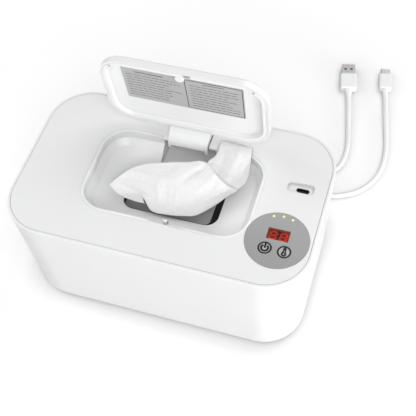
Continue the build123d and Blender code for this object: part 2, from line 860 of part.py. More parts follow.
key_top = rim_height - key_sink
flange_level = skin_bottom - key_flange_gap
plunger_bottom = board_top + switch_height - plunger_depth
plunger_top = flange_level - key_flange_height - seat_gap
keys = {}
plungers = {}
for key_name, (key_x, key_place_y) in key_places.items():
    with BuildPart() as key:
        with BuildSketch(level(key_top - key_height, key_x, key_place_y)):
            Circle(key_radius)
        extrude(amount=key_height)
        fillet(key.faces().sort_by(Axis.Z)[-1].edges(), key_sink * 2)
        with BuildSketch(level(flange_level - key_flange_height, key_x, key_place_y)):
            Circle(key_flange_radius)
        extrude(amount=key_flange_height)
        with BuildSketch(level(plunger_top, key_x, key_place_y)):
            Circle(key_stem_radius)
        extrude(amount=key_top - key_height / 2 - plunger_top)
    with BuildPart() as plunger:
        with BuildSketch(level(plunger_bottom, key_x, key_place_y)):
            Circle(plunger_radius)
        extrude(amount=plunger_top - plunger_bottom)
    keys[key_name + "_key"] = key.part
    plungers[key_name + "_plunger"] = plunger.part


def lead(points):
    """Insulated wire along points, in the current part."""
    with BuildLine() as path:
        FilletPolyline(*points, radius=lead_bend)
    with BuildSketch(Plane(origin=path.line @ 0, z_dir=path.line % 0)) as section:
        Circle(lead_radius)
    sweep(section.sketch, path=path.line)


with BuildPart() as heater_leads:
    heater_lead_y = fuse_y - 1.5 * fuse_length
    fuse_front = fuse_y - fuse_length / 2
    fuse_axis = film_top + fuse_radius
    lead(
        [
            (sensor_x, fuse_front, fuse_axis),
            (sensor_x, fuse_front - 2 * lead_bend, fuse_axis),
            (sensor_x + lead_step, heater_lead_y, (fuse_axis + board_bottom) / 2),
            (sensor_x + lead_step, heater_lead_y, board_bottom),
        ]
    )
    lead_axis = film_top + lead_radius
    lead(
        [
            (sensor_x - lead_step, heater_lead_y, lead_axis),
            (sensor_x + lead_step, heater_lead_y - 2 * lead_bend / 3, lead_axis),
            (sensor_x + 2 * lead_step, heater_lead_y, (lead_axis + board_bottom) / 2),
            (sensor_x + 2 * lead_step, heater_lead_y, board_bottom),
        ]
    )

with BuildPart() as sensor_leads:
    sensor_lead_y = bead_y - lead_step / 2
    bead_axis = film_top + bead_radius
    lead(
        [
            (sensor_x + bead_radius, bead_y, bead_axis),
            (sensor_x + bead_radius + 2 * lead_bend, bead_y, bead_axis),
            (sensor_x + bead_radius + lead_step, sensor_lead_y, (bead_axis + board_bottom) / 2),
            (sensor_x + bead_radius + lead_step, sensor_lead_y, board_bottom),
        ]
    )

# ---------------------------------------------------------------- lid
lid_frame = Plane(
    origin=(0, hinge_y, hinge_z),
    x_dir=(1, 0, 0),
    z_dir=(0, sin(radians(lid_open_angle)), cos(radians(lid_open_angle))),
)


def lid_level(drop, x=tray_x, y=tray_y):
    """Plane parallel to the lid's top that is drop below the rim plane when the lid is closed,
    with its origin where x, y comes when the lid is open."""
    origin = lid_frame.from_local_coords(Vector(x, y - hinge_y, hinge_drop - drop))
    return Plane(origin=origin, x_dir=lid_frame.x_dir, z_dir=lid_frame.z_dir)


def barrel_section(x):
    """Plane across the hinge axis at x; its x runs along the lid, its y through the lid's top."""
    origin = lid_frame.from_local_coords(Vector(x, 0, 0))
    return Plane(origin=origin, x_dir=lid_frame.y_dir, z_dir=lid_frame.x_dir)


barrel_start_angle = 180 + degrees(asin((lid_height - hinge_drop) / barrel_radius))
barrel_inner_radius = barrel_radius - barrel_wall


def sector(inner, outer, start, end):
    """Ring sector between two angles, in the current sketch."""
    with BuildLine() as border:
        outside = CenterArc((0, 0), outer, start, end - start)
        inside = CenterArc((0, 0), inner, start, end - start)
        Line(inside @ 0, outside @ 0)
        Line(inside @ 1, outside @ 1)
    make_face(border.edges())


with BuildPart() as lid_shell:
    with BuildSketch(lid_level(lid_height)):
        RectangleRounded(lid_width, lid_depth, lid_radius)
    extrude(amount=lid_height)
    fillet(lid_shell.faces().sort_by(Axis(lid_frame.origin, lid_frame.z_dir))[-1].edges(), lid_edge_radius)
    with BuildSketch(lid_level(lid_height)):
        RectangleRounded(lid_width - 2 * lid_wall, lid_depth - 2 * lid_wall, lid_radius - lid_wall)
    extrude(amount=lid_height - lid_wall, mode=Mode.SUBTRACT)
    # barrel: shell, webs and the flap that closes the slot in the cover
    with BuildSketch(barrel_section(barrel_left)):
        sector(barrel_inner_radius, barrel_radius, barrel_start_angle, barrel_end_angle)
    extrude(amount=barrel_width)
    flap_front = lid_back - hinge_y - lid_wall / 2
    with BuildSketch(barrel_section(barrel_left)):
        with Locations(((flap_front + flap_reach) / 2, flap_top - flap_thickness / 2)):
            Rectangle(flap_reach - flap_front, flap_thickness)
    extrude(amount=barrel_width)
    for web_x in (barrel_left, barrel_right - web_thickness):
        with BuildSketch(barrel_section(web_x)):
            sector(pin_radius, barrel_radius, barrel_start_angle, web_end_angle)
            Circle(barrel_hub_radius)
            with Locations(((flap_front + flap_reach) / 2, (flap_top - flap_thickness / 2) / 2)):
                Rectangle(flap_reach - flap_front, flap_top - flap_thickness / 2)
            with Locations((flap_front / 2, (hinge_drop - lid_height) / 2)):
                Rectangle(-flap_front, lid_height - hinge_drop)
            Circle(pin_radius + pin_clearance, mode=Mode.SUBTRACT)
        extrude(amount=web_thickness)

liner_inset = lid_wall + liner_clearance
liner_top = lid_wall + liner_clearance
pan_inset = liner_inset + liner_rim
pan_floor = lid_height - liner_pan_depth
pan_front = tray_y - lid_depth / 2 + pan_inset
bump_x = tray_x + bump_shift
bump_y = pan_front + bump_setback
with BuildPart() as lid_liner:
    with BuildSketch(lid_level(lid_height)):
        RectangleRounded(lid_width - 2 * liner_inset, lid_depth - 2 * liner_inset, lid_radius - liner_inset)
    extrude(amount=lid_height - liner_top)
    with BuildSketch(lid_level(lid_height)):
        RectangleRounded(lid_width - 2 * pan_inset, lid_depth - 2 * pan_inset, lid_radius - pan_inset)
    extrude(amount=liner_pan_depth, mode=Mode.SUBTRACT)
    lid_axis = Axis(lid_frame.origin, lid_frame.z_dir)
    pan_face = lid_liner.faces().filter_by(lid_axis).sort_by(lid_axis)[1]
    fillet(pan_face.edges(), liner_pan_radius)
    with BuildSketch(lid_level(pan_floor, bump_x, bump_y)):
        Circle(bump_radius)
    extrude(amount=-bump_height)
    bump_face = lid_liner.faces().filter_by(lid_axis).sort_by(lid_axis)[1]
    fillet(bump_face.edges(), bump_height / 3)
    # pocket for the cover's catch
    catch_pocket_depth = lid_wall + lid_gap + catch_clearance + catch_thickness + catch_pocket_back
    with BuildSketch(lid_level(lid_height, catch_x, tray_front + catch_pocket_depth)):
        Rectangle(
            catch_width + 2 * catch_pocket_side,
            catch_pocket_depth - lid_gap - lid_wall,
            align=(Align.CENTER, Align.MAX),
        )
    extrude(amount=lid_height - liner_top, mode=Mode.SUBTRACT)

label_width = lid_width - 2 * pan_inset - 2 * label_side_margin
label_x = tray_x + label_shift
label_y = pan_front + label_front_margin + label_depth / 2
with BuildPart() as lid_label:
    with BuildSketch(lid_level(pan_floor + label_thickness, label_x, label_y)):
        RectangleRounded(label_width, label_depth, label_corner_radius)
        with Locations((bump_x - label_x, bump_y - label_y)):
            Circle(bump_radius + liner_clearance, mode=Mode.SUBTRACT)
    extrude(amount=label_thickness)

rim_middle_radius = lid_radius - (liner_inset + pan_inset) / 2
bumper_x = lid_width / 2 - lid_radius + rim_middle_radius * cos(radians(bumper_angle))
bumper_y = lid_depth / 2 - lid_radius + rim_middle_radius * sin(radians(bumper_angle))
with BuildPart() as lid_bumpers:
    with BuildSketch(lid_level(lid_height + bumper_height)):
        with Locations((-bumper_x, -bumper_y), (bumper_x, -bumper_y)):
            Circle(bumper_radius)
    extrude(amount=bumper_height)

# ---------------------------------------------------------------- the pulled-up wipe
stack_top = tub_floor_top + stack_height
wipe_stem_x = tray_x + wipe_stem_shift
wipe_slices = [  # height, length, width, and the middle's x and y
    (stack_top, wipe_stem_length, wipe_stem_width, wipe_stem_x, tray_y),
    (funnel_bottom + wipe_stem_width / 2, wipe_stem_length, wipe_stem_width, wipe_stem_x, tray_y),
    (rim_height - 13.0, 56.0, 22.0, 0.0, tray_y),
    (rim_height - 7.5, wipe_spread_length, wipe_spread_width, 1.0, 0.0),
    (rim_height - 1.0, wipe_spread_length - 8.0, wipe_spread_width - 4.0, 2.0, 0.0),
    (rim_height + wipe_rise, 40.0, 16.0, 5.0, 2.0),
]
with BuildPart() as pulled_wipe:
    for height, length, width, slice_x, slice_y in wipe_slices:
        with BuildSketch(level(height, slice_x, slice_y)):
            SlotOverall(length, width)
    loft(ruled=True)
    # the wipe's far corner stands up towards the lid, beside the barrel
    flap_right = tray_x + wipe_spread_length / 2
    with BuildSketch(across(flap_right - wipe_flap_width, tray_y, rim_height)):
        with BuildLine():
            Polyline(
                (0, -wipe_flap_thickness),
                (tray_depth / 2 - wipe_flap_thickness, wipe_flap_thickness),
                (hinge_setback + tray_depth / 2 - wipe_flap_back_gap, wipe_rise),
                (hinge_setback + tray_depth / 2 - wipe_flap_back_gap, wipe_rise - wipe_flap_thickness),
                (tray_depth / 2 - wipe_flap_thickness, 0),
                (0, -3 * wipe_flap_thickness),
                close=True,
            )
        make_face()
    extrude(amount=wipe_flap_width)

# ---------------------------------------------------------------- charging cable
def plug_frame(x, y, lean):
    """Plane across a plug where its shell leaves the overmould; its normal points out of the mouth."""
    return Plane(
        origin=(x, y, plug_axis_height),
        x_dir=(cos(radians(lean)), sin(radians(lean)), 0),
        z_dir=(-sin(radians(lean)), cos(radians(lean)), 0),
    )


usb_a_frame = plug_frame(usb_a_x, usb_a_y, usb_a_lean)
usb_c_frame = plug_frame(usb_c_x, usb_c_y, usb_c_lean)

with BuildPart() as usb_a_shell:
    with BuildSketch(usb_a_frame):
        Rectangle(usb_a_shell_width, usb_a_shell_height)
    extrude(amount=usb_a_shell_length)
    with BuildSketch(usb_a_frame.offset(usb_a_shell_wall)):
        Rectangle(usb_a_shell_width - 2 * usb_a_shell_wall, usb_a_shell_height - 2 * usb_a_shell_wall)
    extrude(amount=usb_a_shell_length - usb_a_shell_wall, mode=Mode.SUBTRACT)
    window_level = usb_a_shell_length - usb_a_window_from_mouth
    with BuildSketch(Plane(usb_a_frame.offset(window_level).location * Location((0, 0, 0), (90, 0, 0)))):
        with GridLocations(usb_a_window_pitch, 0, 2, 1):
            Rectangle(usb_a_window, usb_a_window)
    extrude(amount=usb_a_shell_height, both=True, mode=Mode.SUBTRACT)

with BuildPart() as usb_a_tongue:
    tongue_shift = (usb_a_shell_height - 2 * usb_a_shell_wall - usb_a_tongue_height) / 2
    with BuildSketch(usb_a_frame.offset(usb_a_shell_wall)):
        with Locations((0, -tongue_shift)):
            Rectangle(usb_a_shell_width - 2 * usb_a_shell_wall, usb_a_tongue_height)
    extrude(amount=usb_a_shell_length - 2 * usb_a_shell_wall)

with BuildPart() as usb_c_shell:
    with BuildSketch(usb_c_frame):
        SlotOverall(usb_c_shell_width, usb_c_shell_height)
    extrude(amount=usb_c_shell_length)
    with BuildSketch(usb_c_frame.offset(usb_c_shell_wall)):
        SlotOverall(usb_c_shell_width - 2 * usb_c_shell_wall, usb_c_shell_height - 2 * usb_c_shell_wall)
    extrude(amount=usb_c_shell_length - usb_c_shell_wall, mode=Mode.SUBTRACT)

overmoulds = {}
reliefs = {}
for plug_name, frame, width, height in (
    ("usb_a", usb_a_frame, usb_a_overmould_width, usb_a_overmould_height),
    ("usb_c", usb_c_frame, usb_c_overmould_width, usb_c_overmould_height),
):
    with BuildPart() as overmould:
        with BuildSketch(frame):
            RectangleRounded(width, height, overmould_radius)
        extrude(amount=-overmould_length)
        fillet(overmould.faces().sort_by(Axis(frame.origin, frame.z_dir))[0].edges(), overmould_radius / 2)
    with BuildPart() as relief:
        with BuildSketch(frame.offset(-overmould_length)):
            Circle(relief_root_radius)
        with BuildSketch(frame.offset(-overmould_length - relief_length)):
            Circle(relief_tip_radius)
        loft()
    overmoulds[plug_name + "_overmould"] = overmould.part
    reliefs[plug_name + "_strain_relief"] = relief.part


def cord_start(frame, run=0.0):
    """The point on a plug's axis, run beyond the end of its strain relief."""
    return tuple(frame.from_local_coords(Vector(0, 0, -overmould_length - relief_length - run)))


coil_outer = coil_radius + coil_turns_across * cord_radius
coil_inner = coil_radius - coil_turns_across * cord_radius
coil_height = 2 * cord_radius * coil_turns_high
usb_a_route = [
    cord_start(usb_a_frame),
    cord_start(usb_a_frame, first_run),
    (102.4, 152.0, 2.0),
    (106.2, 131.0, 2.0),
    (104.4, 111.0, 2.0),
    (93.0, 98.5, 2.0),
    (77.0, 96.0, 2.0),
    (62.5, 103.5, 2.0),
    (49.0, 116.5, 2.0),
    (33.0, 121.0, 2.0),
]
usb_c_route = [
    cord_start(usb_c_frame),
    cord_start(usb_c_frame, first_run),
    (134.2, 158.0, 2.0),
    (138.6, 135.0, 2.0),
    (137.0, 110.0, 2.0),
    (125.0, 90.0, 2.0),
    (104.0, 79.5, 2.0),
    (82.0, 78.5, 2.0),
    (62.0, 83.5, 2.0),
    (47.5, 79.5, 2.0),
    (33.0, 77.0, 2.0),
]


def cord_radii(points):
    """Radius at each corner: 0.45 of the shorter run, over the tangent of half the turn."""
    vectors = [Vector(*b) - Vector(*a) for a, b in zip(points, points[1:])]
    return [
        0.45 * min(one.length, two.length) / tan(radians(one.get_angle(two)) / 2)
        for one, two in zip(vectors, vectors[1:])
    ]


def cord_run(points):
    """Round cord along straight runs joined by tangent arcs, in the current part."""
    with BuildLine() as path:
        FilletPolyline(*points, radius=cord_radii(points))
    with BuildSketch(Plane(origin=path.line @ 0, z_dir=path.line % 0)) as section:
        Circle(cord_radius)
    sweep(section.sketch, path=path.line)
    return sum(edge.length for edge in path.edges())


with BuildPart() as usb_a_cord:
    usb_a_cord_length = cord_run(usb_a_route)

with BuildPart() as usb_c_cord:
    usb_c_cord_length = cord_run(usb_c_route)

with BuildPart() as cord_coil:
    with BuildSketch(level(0, coil_x, coil_y)):
        Circle(coil_outer)
        Circle(coil_inner, mode=Mode.SUBTRACT)
    extrude(amount=coil_height)
    fillet(cord_coil.edges().filter_by(GeomType.CIRCLE), cord_radius * 0.9)

for cord_name, route, cord, length in (
    ("usb_a_cord", usb_a_route, usb_a_cord, usb_a_cord_length),
    ("usb_c_cord", usb_c_route, usb_c_cord, usb_c_cord_length),
):
    radii = ", ".join(f"{radius:.0f}" for radius in cord_radii(route))
    ratio = cord.part.volume / (length * pi * cord_radius**2)
    print(f"{cord_name}: length {length:.0f} mm, radii {radii} mm, volume ratio {ratio:.4f}")

# ---------------------------------------------------------------- parts
pieces = {
    "outer_housing": outer_housing.part,
    "feet": feet.part,
    "inner_tub": inner_tub.part,
    "wipe_stack": wipe_stack.part,
    "top_cover": top_cover.part,
    "hinge_pin": hinge_pin.part,
    "cover_underside": cover_underside.part,
    "underside_screws": underside_screws.part,
    "heater_plate": heater_plate.part,
    "plate_seal": plate_seal.part,
    "heater_film": heater_film.part,
    "insulation_pad": insulation_pad.part,
    "thermal_fuse": thermal_fuse.part,
    "thermistor": thermistor.part,
    "circuit_board": circuit_board.part,
    "board_screws": board_screws.part,
    "board_parts": board_parts.part,
    "usb_c_receptacle": usb_c_receptacle.part,
    "display_module": display_module.part,
    "display_digits": display_digits.part,
    "display_window": display_window.part,
    "status_leds": status_leds.part,
    "light_pipes": light_pipes.part,
    "panel_overlay": panel_overlay.part,
    "key_switches": key_switches.part,
    **keys,
    **plungers,
    "heater_leads": heater_leads.part,
    "sensor_leads": sensor_leads.part,
    "lid_shell": lid_shell.part,
    "lid_liner": lid_liner.part,
    "lid_label": lid_label.part,
    "lid_bumpers": lid_bumpers.part,
    "pulled_wipe": pulled_wipe.part,
    "usb_a_shell": usb_a_shell.part,
    "usb_a_tongue": usb_a_tongue.part,
    "usb_c_shell": usb_c_shell.part,
    **overmoulds,
    **reliefs,
    "usb_a_cord": usb_a_cord.part,
    "usb_c_cord": usb_c_cord.part,
    "cord_coil": cord_coil.part,
}
for name, piece in pieces.items():
    piece.label = name
    export_step(piece, f"parts/{name}.step")
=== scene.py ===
import math
import random

import bpy
from mathutils import Matrix, Vector


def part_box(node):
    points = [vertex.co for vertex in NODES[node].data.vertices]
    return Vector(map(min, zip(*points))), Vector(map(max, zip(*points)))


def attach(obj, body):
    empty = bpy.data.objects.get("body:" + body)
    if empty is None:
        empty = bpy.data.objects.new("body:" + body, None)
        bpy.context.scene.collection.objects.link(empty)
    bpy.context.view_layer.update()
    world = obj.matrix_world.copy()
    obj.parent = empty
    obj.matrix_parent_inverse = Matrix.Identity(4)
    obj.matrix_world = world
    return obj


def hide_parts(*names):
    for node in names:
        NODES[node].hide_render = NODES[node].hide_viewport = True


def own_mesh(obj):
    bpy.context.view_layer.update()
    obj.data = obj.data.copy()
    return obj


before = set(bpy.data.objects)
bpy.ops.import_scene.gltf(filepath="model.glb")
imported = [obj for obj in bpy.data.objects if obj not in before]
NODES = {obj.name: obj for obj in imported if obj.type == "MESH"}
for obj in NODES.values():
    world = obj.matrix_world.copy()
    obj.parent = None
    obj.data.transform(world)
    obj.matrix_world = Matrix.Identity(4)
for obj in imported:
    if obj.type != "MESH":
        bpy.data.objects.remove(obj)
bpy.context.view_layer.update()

# shapes are written in millimetres and turned into metres by MM; materials and lights are in metres
MM = 0.001
SCENE = bpy.context.scene
COLLECTION = SCENE.collection


# ---------------------------------------------------------------- camera

def camera_frame(azimuth, elevation, roll):
    """Right, up and back of a view; azimuth 0 looks along +Y, and roll turns the picture."""
    az, el, turn = (math.radians(v) for v in (azimuth, elevation, roll))
    back = Vector((math.sin(az) * math.cos(el), -math.cos(az) * math.cos(el), math.sin(el)))
    right = Vector((math.cos(az), math.sin(az), 0))
    up = back.cross(right)
    return (right * math.cos(turn) + up * math.sin(turn), up * math.cos(turn) - right * math.sin(turn), back)


CAMERA_TARGET = Vector((20.3, 12.7, 50.0)) * MM
CAMERA_DISTANCE = 614.66 * MM
camera_data = bpy.data.cameras.new("camera")
camera_data.lens = 70.36
camera_data.sensor_width = 36.0
camera = bpy.data.objects.new("camera", camera_data)
COLLECTION.objects.link(camera)
camera_right, camera_up, camera_back = camera_frame(22.35, 56.09, -6.1)
camera.matrix_world = Matrix((
    (camera_right.x, camera_up.x, camera_back.x, 0),
    (camera_right.y, camera_up.y, camera_back.y, 0),
    (camera_right.z, camera_up.z, camera_back.z, 0),
    (0, 0, 0, 1),
))
camera.location = CAMERA_TARGET + camera_back * CAMERA_DISTANCE
SCENE.camera = camera
SCENE.view_settings.view_transform = "Standard"


# ---------------------------------------------------------------- materials

# every material by its name, filled as the shaders are made
MATERIALS = {}
WHITE = (0.80, 0.802, 0.806)
NOISE_ROUGHNESS = 0.55
OCCLUSION_SAMPLES = 6

# moulded plastic: its mottle, the scales of its textures per metre, and the depths of its bumps in metres
MOTTLE = 0.015
FLOW_SCALE = 38.0
SKIN_SCALE = 2600.0
SKIN_DEPTH = 0.00006
SINK_SCALE = 55.0
SINK_DEPTH = 0.0006
MOULDED_COAT_ROUGHNESS = 0.16


def grey(value):
    return (value, value, value)


def add_node(tree, kind, **inputs):
    """Adds a shader node and sets the named inputs; an underscore in a name stands for a space."""
    node = tree.nodes.new("ShaderNode" + kind)
    for name, value in inputs.items():
        node.inputs[name.replace("_", " ")].default_value = value
    return node


class Shader:
    """A node material with one principled shader, built up by small calls."""

    def __init__(self, name, colour, roughness, specular=0.5, metallic=0.0, coat=0.0, coat_roughness=0.1):
        material = bpy.data.materials.new(name)
        material.use_nodes = True
        MATERIALS[name] = material
        self.tree = material.node_tree
        self.tree.nodes.clear()
        output = add_node(self.tree, "OutputMaterial")
        self.principled = add_node(self.tree, "BsdfPrincipled")
        self.link(self.principled.outputs["BSDF"], output.inputs["Surface"])
        self.set("Base Color", (*colour, 1))
        self.set("Roughness", roughness)
        self.set("Specular IOR Level", specular)
        self.set("Metallic", metallic)
        self.set("Coat Weight", coat)
        self.set("Coat Roughness", coat_roughness)
        self.coordinates = add_node(self.tree, "TexCoord").outputs["Object"]
        self.colour = None
        self.height = None

    def link(self, source, target):
        self.tree.links.new(source, target)

    def set(self, socket, value):
        self.principled.inputs[socket].default_value = value

    def glow(self, colour, strength):
        self.set("Emission Color", (*colour, 1))
        self.set("Emission Strength", strength)

    def noise(self, scale, detail=3.0, stretch=(1, 1, 1)):
        mapping = add_node(self.tree, "Mapping", Scale=stretch)
        self.link(self.coordinates, mapping.inputs["Vector"])
        node = add_node(self.tree, "TexNoise", Scale=scale, Detail=detail, Roughness=NOISE_ROUGHNESS)
        self.link(mapping.outputs["Vector"], node.inputs["Vector"])
        return node.outputs["Fac"]

    def cells(self, scale):
        node = add_node(self.tree, "TexVoronoi", Scale=scale)
        self.link(self.coordinates, node.inputs["Vector"])
        return node.outputs["Distance"]

    def waves(self, scale, direction, distortion=0.0):
        node = add_node(self.tree, "TexWave", Scale=scale, Distortion=distortion, Detail=1.0)
        node.bands_direction = direction
        self.link(self.coordinates, node.inputs["Vector"])
        return node.outputs["Fac"]

    def math(self, operation, first, second=0.0):
        node = add_node(self.tree, "Math")
        node.operation = operation
        for socket, value in zip(node.inputs, (first, second)):
            if isinstance(value, (int, float)):
                socket.default_value = value
            else:
                self.link(value, socket)
        return node.outputs["Value"]

    def step(self, value, low, high):
        """0 below low, 1 above high, smooth between."""
        node = add_node(self.tree, "MapRange", From_Min=low, From_Max=high)
        node.interpolation_type = "SMOOTHSTEP"
        self.link(value, node.inputs["Value"])
        return node.outputs["Result"]

    def axis(self, name):
        node = add_node(self.tree, "SeparateXYZ")
        self.link(self.coordinates, node.inputs["Vector"])
        return node.outputs[name]

    def tint(self, factor, low, high):
        """Colours from low to high by factor; a second call multiplies what the first one made."""
        ramp = add_node(self.tree, "Mix")
        ramp.data_type = "RGBA"
        ramp.inputs["A"].default_value = (*low, 1)
        ramp.inputs["B"].default_value = (*high, 1)
        self.link(factor, ramp.inputs["Factor"])
        result = ramp.outputs["Result"]
        if self.colour is not None:
            blend = add_node(self.tree, "Mix")
            blend.data_type = "RGBA"
            blend.blend_type = "MULTIPLY"
            blend.inputs["Factor"].default_value = 1.0
            self.link(self.colour, blend.inputs["A"])
            self.link(result, blend.inputs["B"])
            result = blend.outputs["Result"]
        self.colour = result
        self.link(result, self.principled.inputs["Base Color"])

    def paint_occlusion_shade(self, reach, low):
        """Darkens the colour in narrow gaps and inner corners as far as ambient occlusion reaches: painted
        shade, where less light gets in.
        """
        node = add_node(self.tree, "AmbientOcclusion", Distance=reach)
        node.samples = OCCLUSION_SAMPLES
        self.tint(node.outputs["AO"], grey(low), grey(1.0))

    def bump(self, height, distance, strength):
        node = add_node(self.tree, "Bump", Distance=distance, Strength=strength)
        self.link(height, node.inputs["Height"])
        if self.height is not None:
            self.link(self.height, node.inputs["Normal"])
        self.height = node.outputs["Normal"]
        self.link(self.height, self.principled.inputs["Normal"])


def moulded(name, colour, roughness, coat, grain=0.012):
    """Injection-moulded plastic: a faint flow mottle in its colour and a very fine skin."""
    shader = Shader(name, colour, roughness, coat=coat, coat_roughness=MOULDED_COAT_ROUGHNESS)
    low = tuple(c * (1 - MOTTLE) for c in colour)
    high = tuple(min(1.0, c * (1 + MOTTLE)) for c in colour)
    shader.tint(shader.noise(FLOW_SCALE, detail=2.0), low, high)
    shader.bump(shader.noise(SKIN_SCALE, detail=2.0), SKIN_DEPTH, grain)
    shader.bump(shader.noise(SINK_SCALE, detail=1.0), SINK_DEPTH, grain * 1.6)
    return shader


# the housing, the cover and the liner get painted shade in their gaps and inner corners
housing = moulded("housing_plastic", WHITE, 0.33, 0.14)
housing.paint_occlusion_shade(0.004, 0.55)
cover = moulded("cover_plastic", WHITE, 0.36, 0.12)
cover.paint_occlusion_shade(0.0022, 0.50)
# painted light: the liner is a lighter white than the housing and the cover, so that the open lid's inner
# face reads brighter
liner = moulded("liner_plastic", (0.86, 0.862, 0.866), 0.34, 0.15)
liner.paint_occlusion_shade(0.004, 0.60)
moulded("tub_plastic", (0.70, 0.70, 0.70), 0.48, 0.0, grain=0.05)
moulded("cable_plastic", (0.88, 0.88, 0.883), 0.38, 0.05, grain=0.03)
moulded("orange_plastic", (0.30, 0.022, 0.006), 0.40, 0.0, grain=0.03)
moulded("dark_plastic", (0.028, 0.028, 0.030), 0.45, 0.0, grain=0.05)
moulded("key_plastic", (0.40, 0.40, 0.405), 0.34, 0.12, grain=0.02)

jacket = moulded("cable_jacket", (0.86, 0.86, 0.863), 0.42, 0.0, grain=0.06)
jacket.bump(jacket.noise(900.0, detail=3.0), 0.0002, 0.10)

# painted shade: the round panel gets a little darker toward the front
panel = moulded("panel_grey", (0.355, 0.355, 0.36), 0.36, 0.10, grain=0.02)
panel.tint(panel.noise(5200.0, detail=1.0), grey(0.94), grey(1.0))
panel.tint(panel.step(panel.axis("Y"), -0.052, -0.006), grey(0.90), grey(1.0))

label = moulded("label_film", (0.47, 0.47, 0.475), 0.46, 0.05, grain=0.02)
label.tint(label.noise(3600.0, detail=2.0), grey(0.93), grey(1.0))

rubber = Shader("foot_rubber", (0.50, 0.50, 0.51), 0.78, specular=0.3)
rubber.tint(rubber.noise(700.0), (0.46, 0.46, 0.47), (0.53, 0.53, 0.54))
rubber.bump(rubber.noise(2200.0), 0.0002, 0.35)

seal = Shader("seal_rubber", (0.008, 0.008, 0.009), 0.45, specular=0.25)
seal.tint(seal.noise(900.0), (0.006, 0.006, 0.007), (0.012, 0.012, 0.013))
seal.bump(seal.noise(2600.0), 0.0001, 0.25)

foam = Shader("foam", (0.035, 0.035, 0.037), 0.92, specular=0.2)
pores = foam.cells(1400.0)
foam.tint(pores, (0.015, 0.015, 0.016), (0.06, 0.06, 0.063))
foam.bump(pores, 0.0005, 0.8)

# brushed along X, and darker toward its left end with painted shade, where the wipe shades it
plate = Shader("heater_aluminium", (0.50, 0.50, 0.505), 0.42, metallic=0.35)
plate.set("Anisotropic", 0.5)
plate.tint(plate.noise(420.0, detail=4.0, stretch=(1, 26, 26)), (0.43, 0.43, 0.435), (0.55, 0.55, 0.555))
plate.tint(plate.step(plate.axis("X"), -0.040, 0.028), grey(0.48), grey(1.0))
plate.bump(plate.noise(900.0, detail=3.0, stretch=(1, 30, 30)), 0.00008, 0.35)

steel = Shader("steel", (0.55, 0.55, 0.57), 0.28, metallic=1.0)
steel.tint(steel.noise(500.0, stretch=(1, 12, 12)), (0.48, 0.48, 0.50), (0.60, 0.60, 0.62))
steel.bump(steel.noise(1800.0, stretch=(1, 18, 18)), 0.00005, 0.25)

nickel = Shader("plug_metal", (0.74, 0.74, 0.75), 0.30, metallic=0.75)
nickel.tint(nickel.noise(260.0, detail=2.0, stretch=(9, 1, 1)), (0.68, 0.68, 0.69), (0.82, 0.82, 0.83))
nickel.bump(nickel.noise(3000.0), 0.00003, 0.2)

board = Shader("board_laminate", (0.01, 0.10, 0.045), 0.32, coat=0.2)
tracks = board.step(board.waves(340.0, "DIAGONAL", distortion=3.0), 0.46, 0.54)
board.tint(tracks, (0.008, 0.085, 0.038), (0.016, 0.135, 0.062))
board.tint(board.step(board.cells(210.0), 0.10, 0.14), (0.9, 1.0, 0.8), grey(1.0))
board.bump(tracks, 0.00004, 0.5)

film = Shader("heater_film", (0.50, 0.20, 0.03), 0.28, specular=0.6, coat=0.3)
traces = film.step(film.waves(95.0, "X"), 0.42, 0.50)
film.tint(traces, (0.56, 0.25, 0.045), (0.34, 0.10, 0.015))
film.bump(traces, 0.00005, 0.6)

silicone = Shader("lead_insulation", (0.55, 0.015, 0.012), 0.52, specular=0.4)
silicone.tint(silicone.noise(300.0), (0.48, 0.012, 0.010), (0.60, 0.020, 0.015))
silicone.bump(silicone.noise(1500.0), 0.0001, 0.2)

digits = Shader("red_segments", (0.8, 0.02, 0.01), 0.5, specular=0.1)
digits.tint(digits.noise(900.0), (0.70, 0.015, 0.008), (0.90, 0.03, 0.015))
digits.glow((1.0, 0.008, 0.004), 1.15)

# the window is dark in its middle and turns orange-brown, a painted glow of the lit segments, between these
# distances from its centre, in metres
WINDOW_CENTRE = (0.0839, -0.0236)
WINDOW_TURNS = ((0.0045, 0.0078), (0.0022, 0.0046))
window = Shader("smoked_window", (0.10, 0.020, 0.010), 0.22, specular=0.12)
edge_shares = []
for axis_name, middle, turns in zip("XY", WINDOW_CENTRE, WINDOW_TURNS):
    from_middle = window.math("ABSOLUTE", window.math("SUBTRACT", window.axis(axis_name), middle))
    edge_shares.append(window.step(from_middle, *turns))
window.tint(window.math("MAXIMUM", *edge_shares), (0.018, 0.026, 0.028), (0.34, 0.085, 0.018))
window.tint(window.noise(60.0), grey(0.92), grey(1.0))
window.bump(window.noise(1200.0), 0.00003, 0.1)
window.set("Alpha", 0.42)
# a faint painted glow, as of the segments' light in the window
window.glow((0.55, 0.09, 0.015), 0.06)

lamp = Shader("light_pipe", (0.86, 0.84, 0.42), 0.30, coat=0.2)
lamp.tint(lamp.noise(800.0), (0.74, 0.72, 0.24), (0.82, 0.80, 0.32))
lamp.glow((1.0, 0.93, 0.42), 0.22)

resin = Shader("led_resin", (0.80, 0.78, 0.50), 0.35, coat=0.2)
resin.tint(resin.noise(900.0), (0.74, 0.72, 0.44), (0.84, 0.82, 0.56))

glass = Shader("fuse_glass", (0.75, 0.76, 0.72), 0.08, coat=0.3)
glass.tint(glass.noise(500.0), (0.70, 0.71, 0.67), (0.80, 0.81, 0.77))
glass.set("Alpha", 0.6)

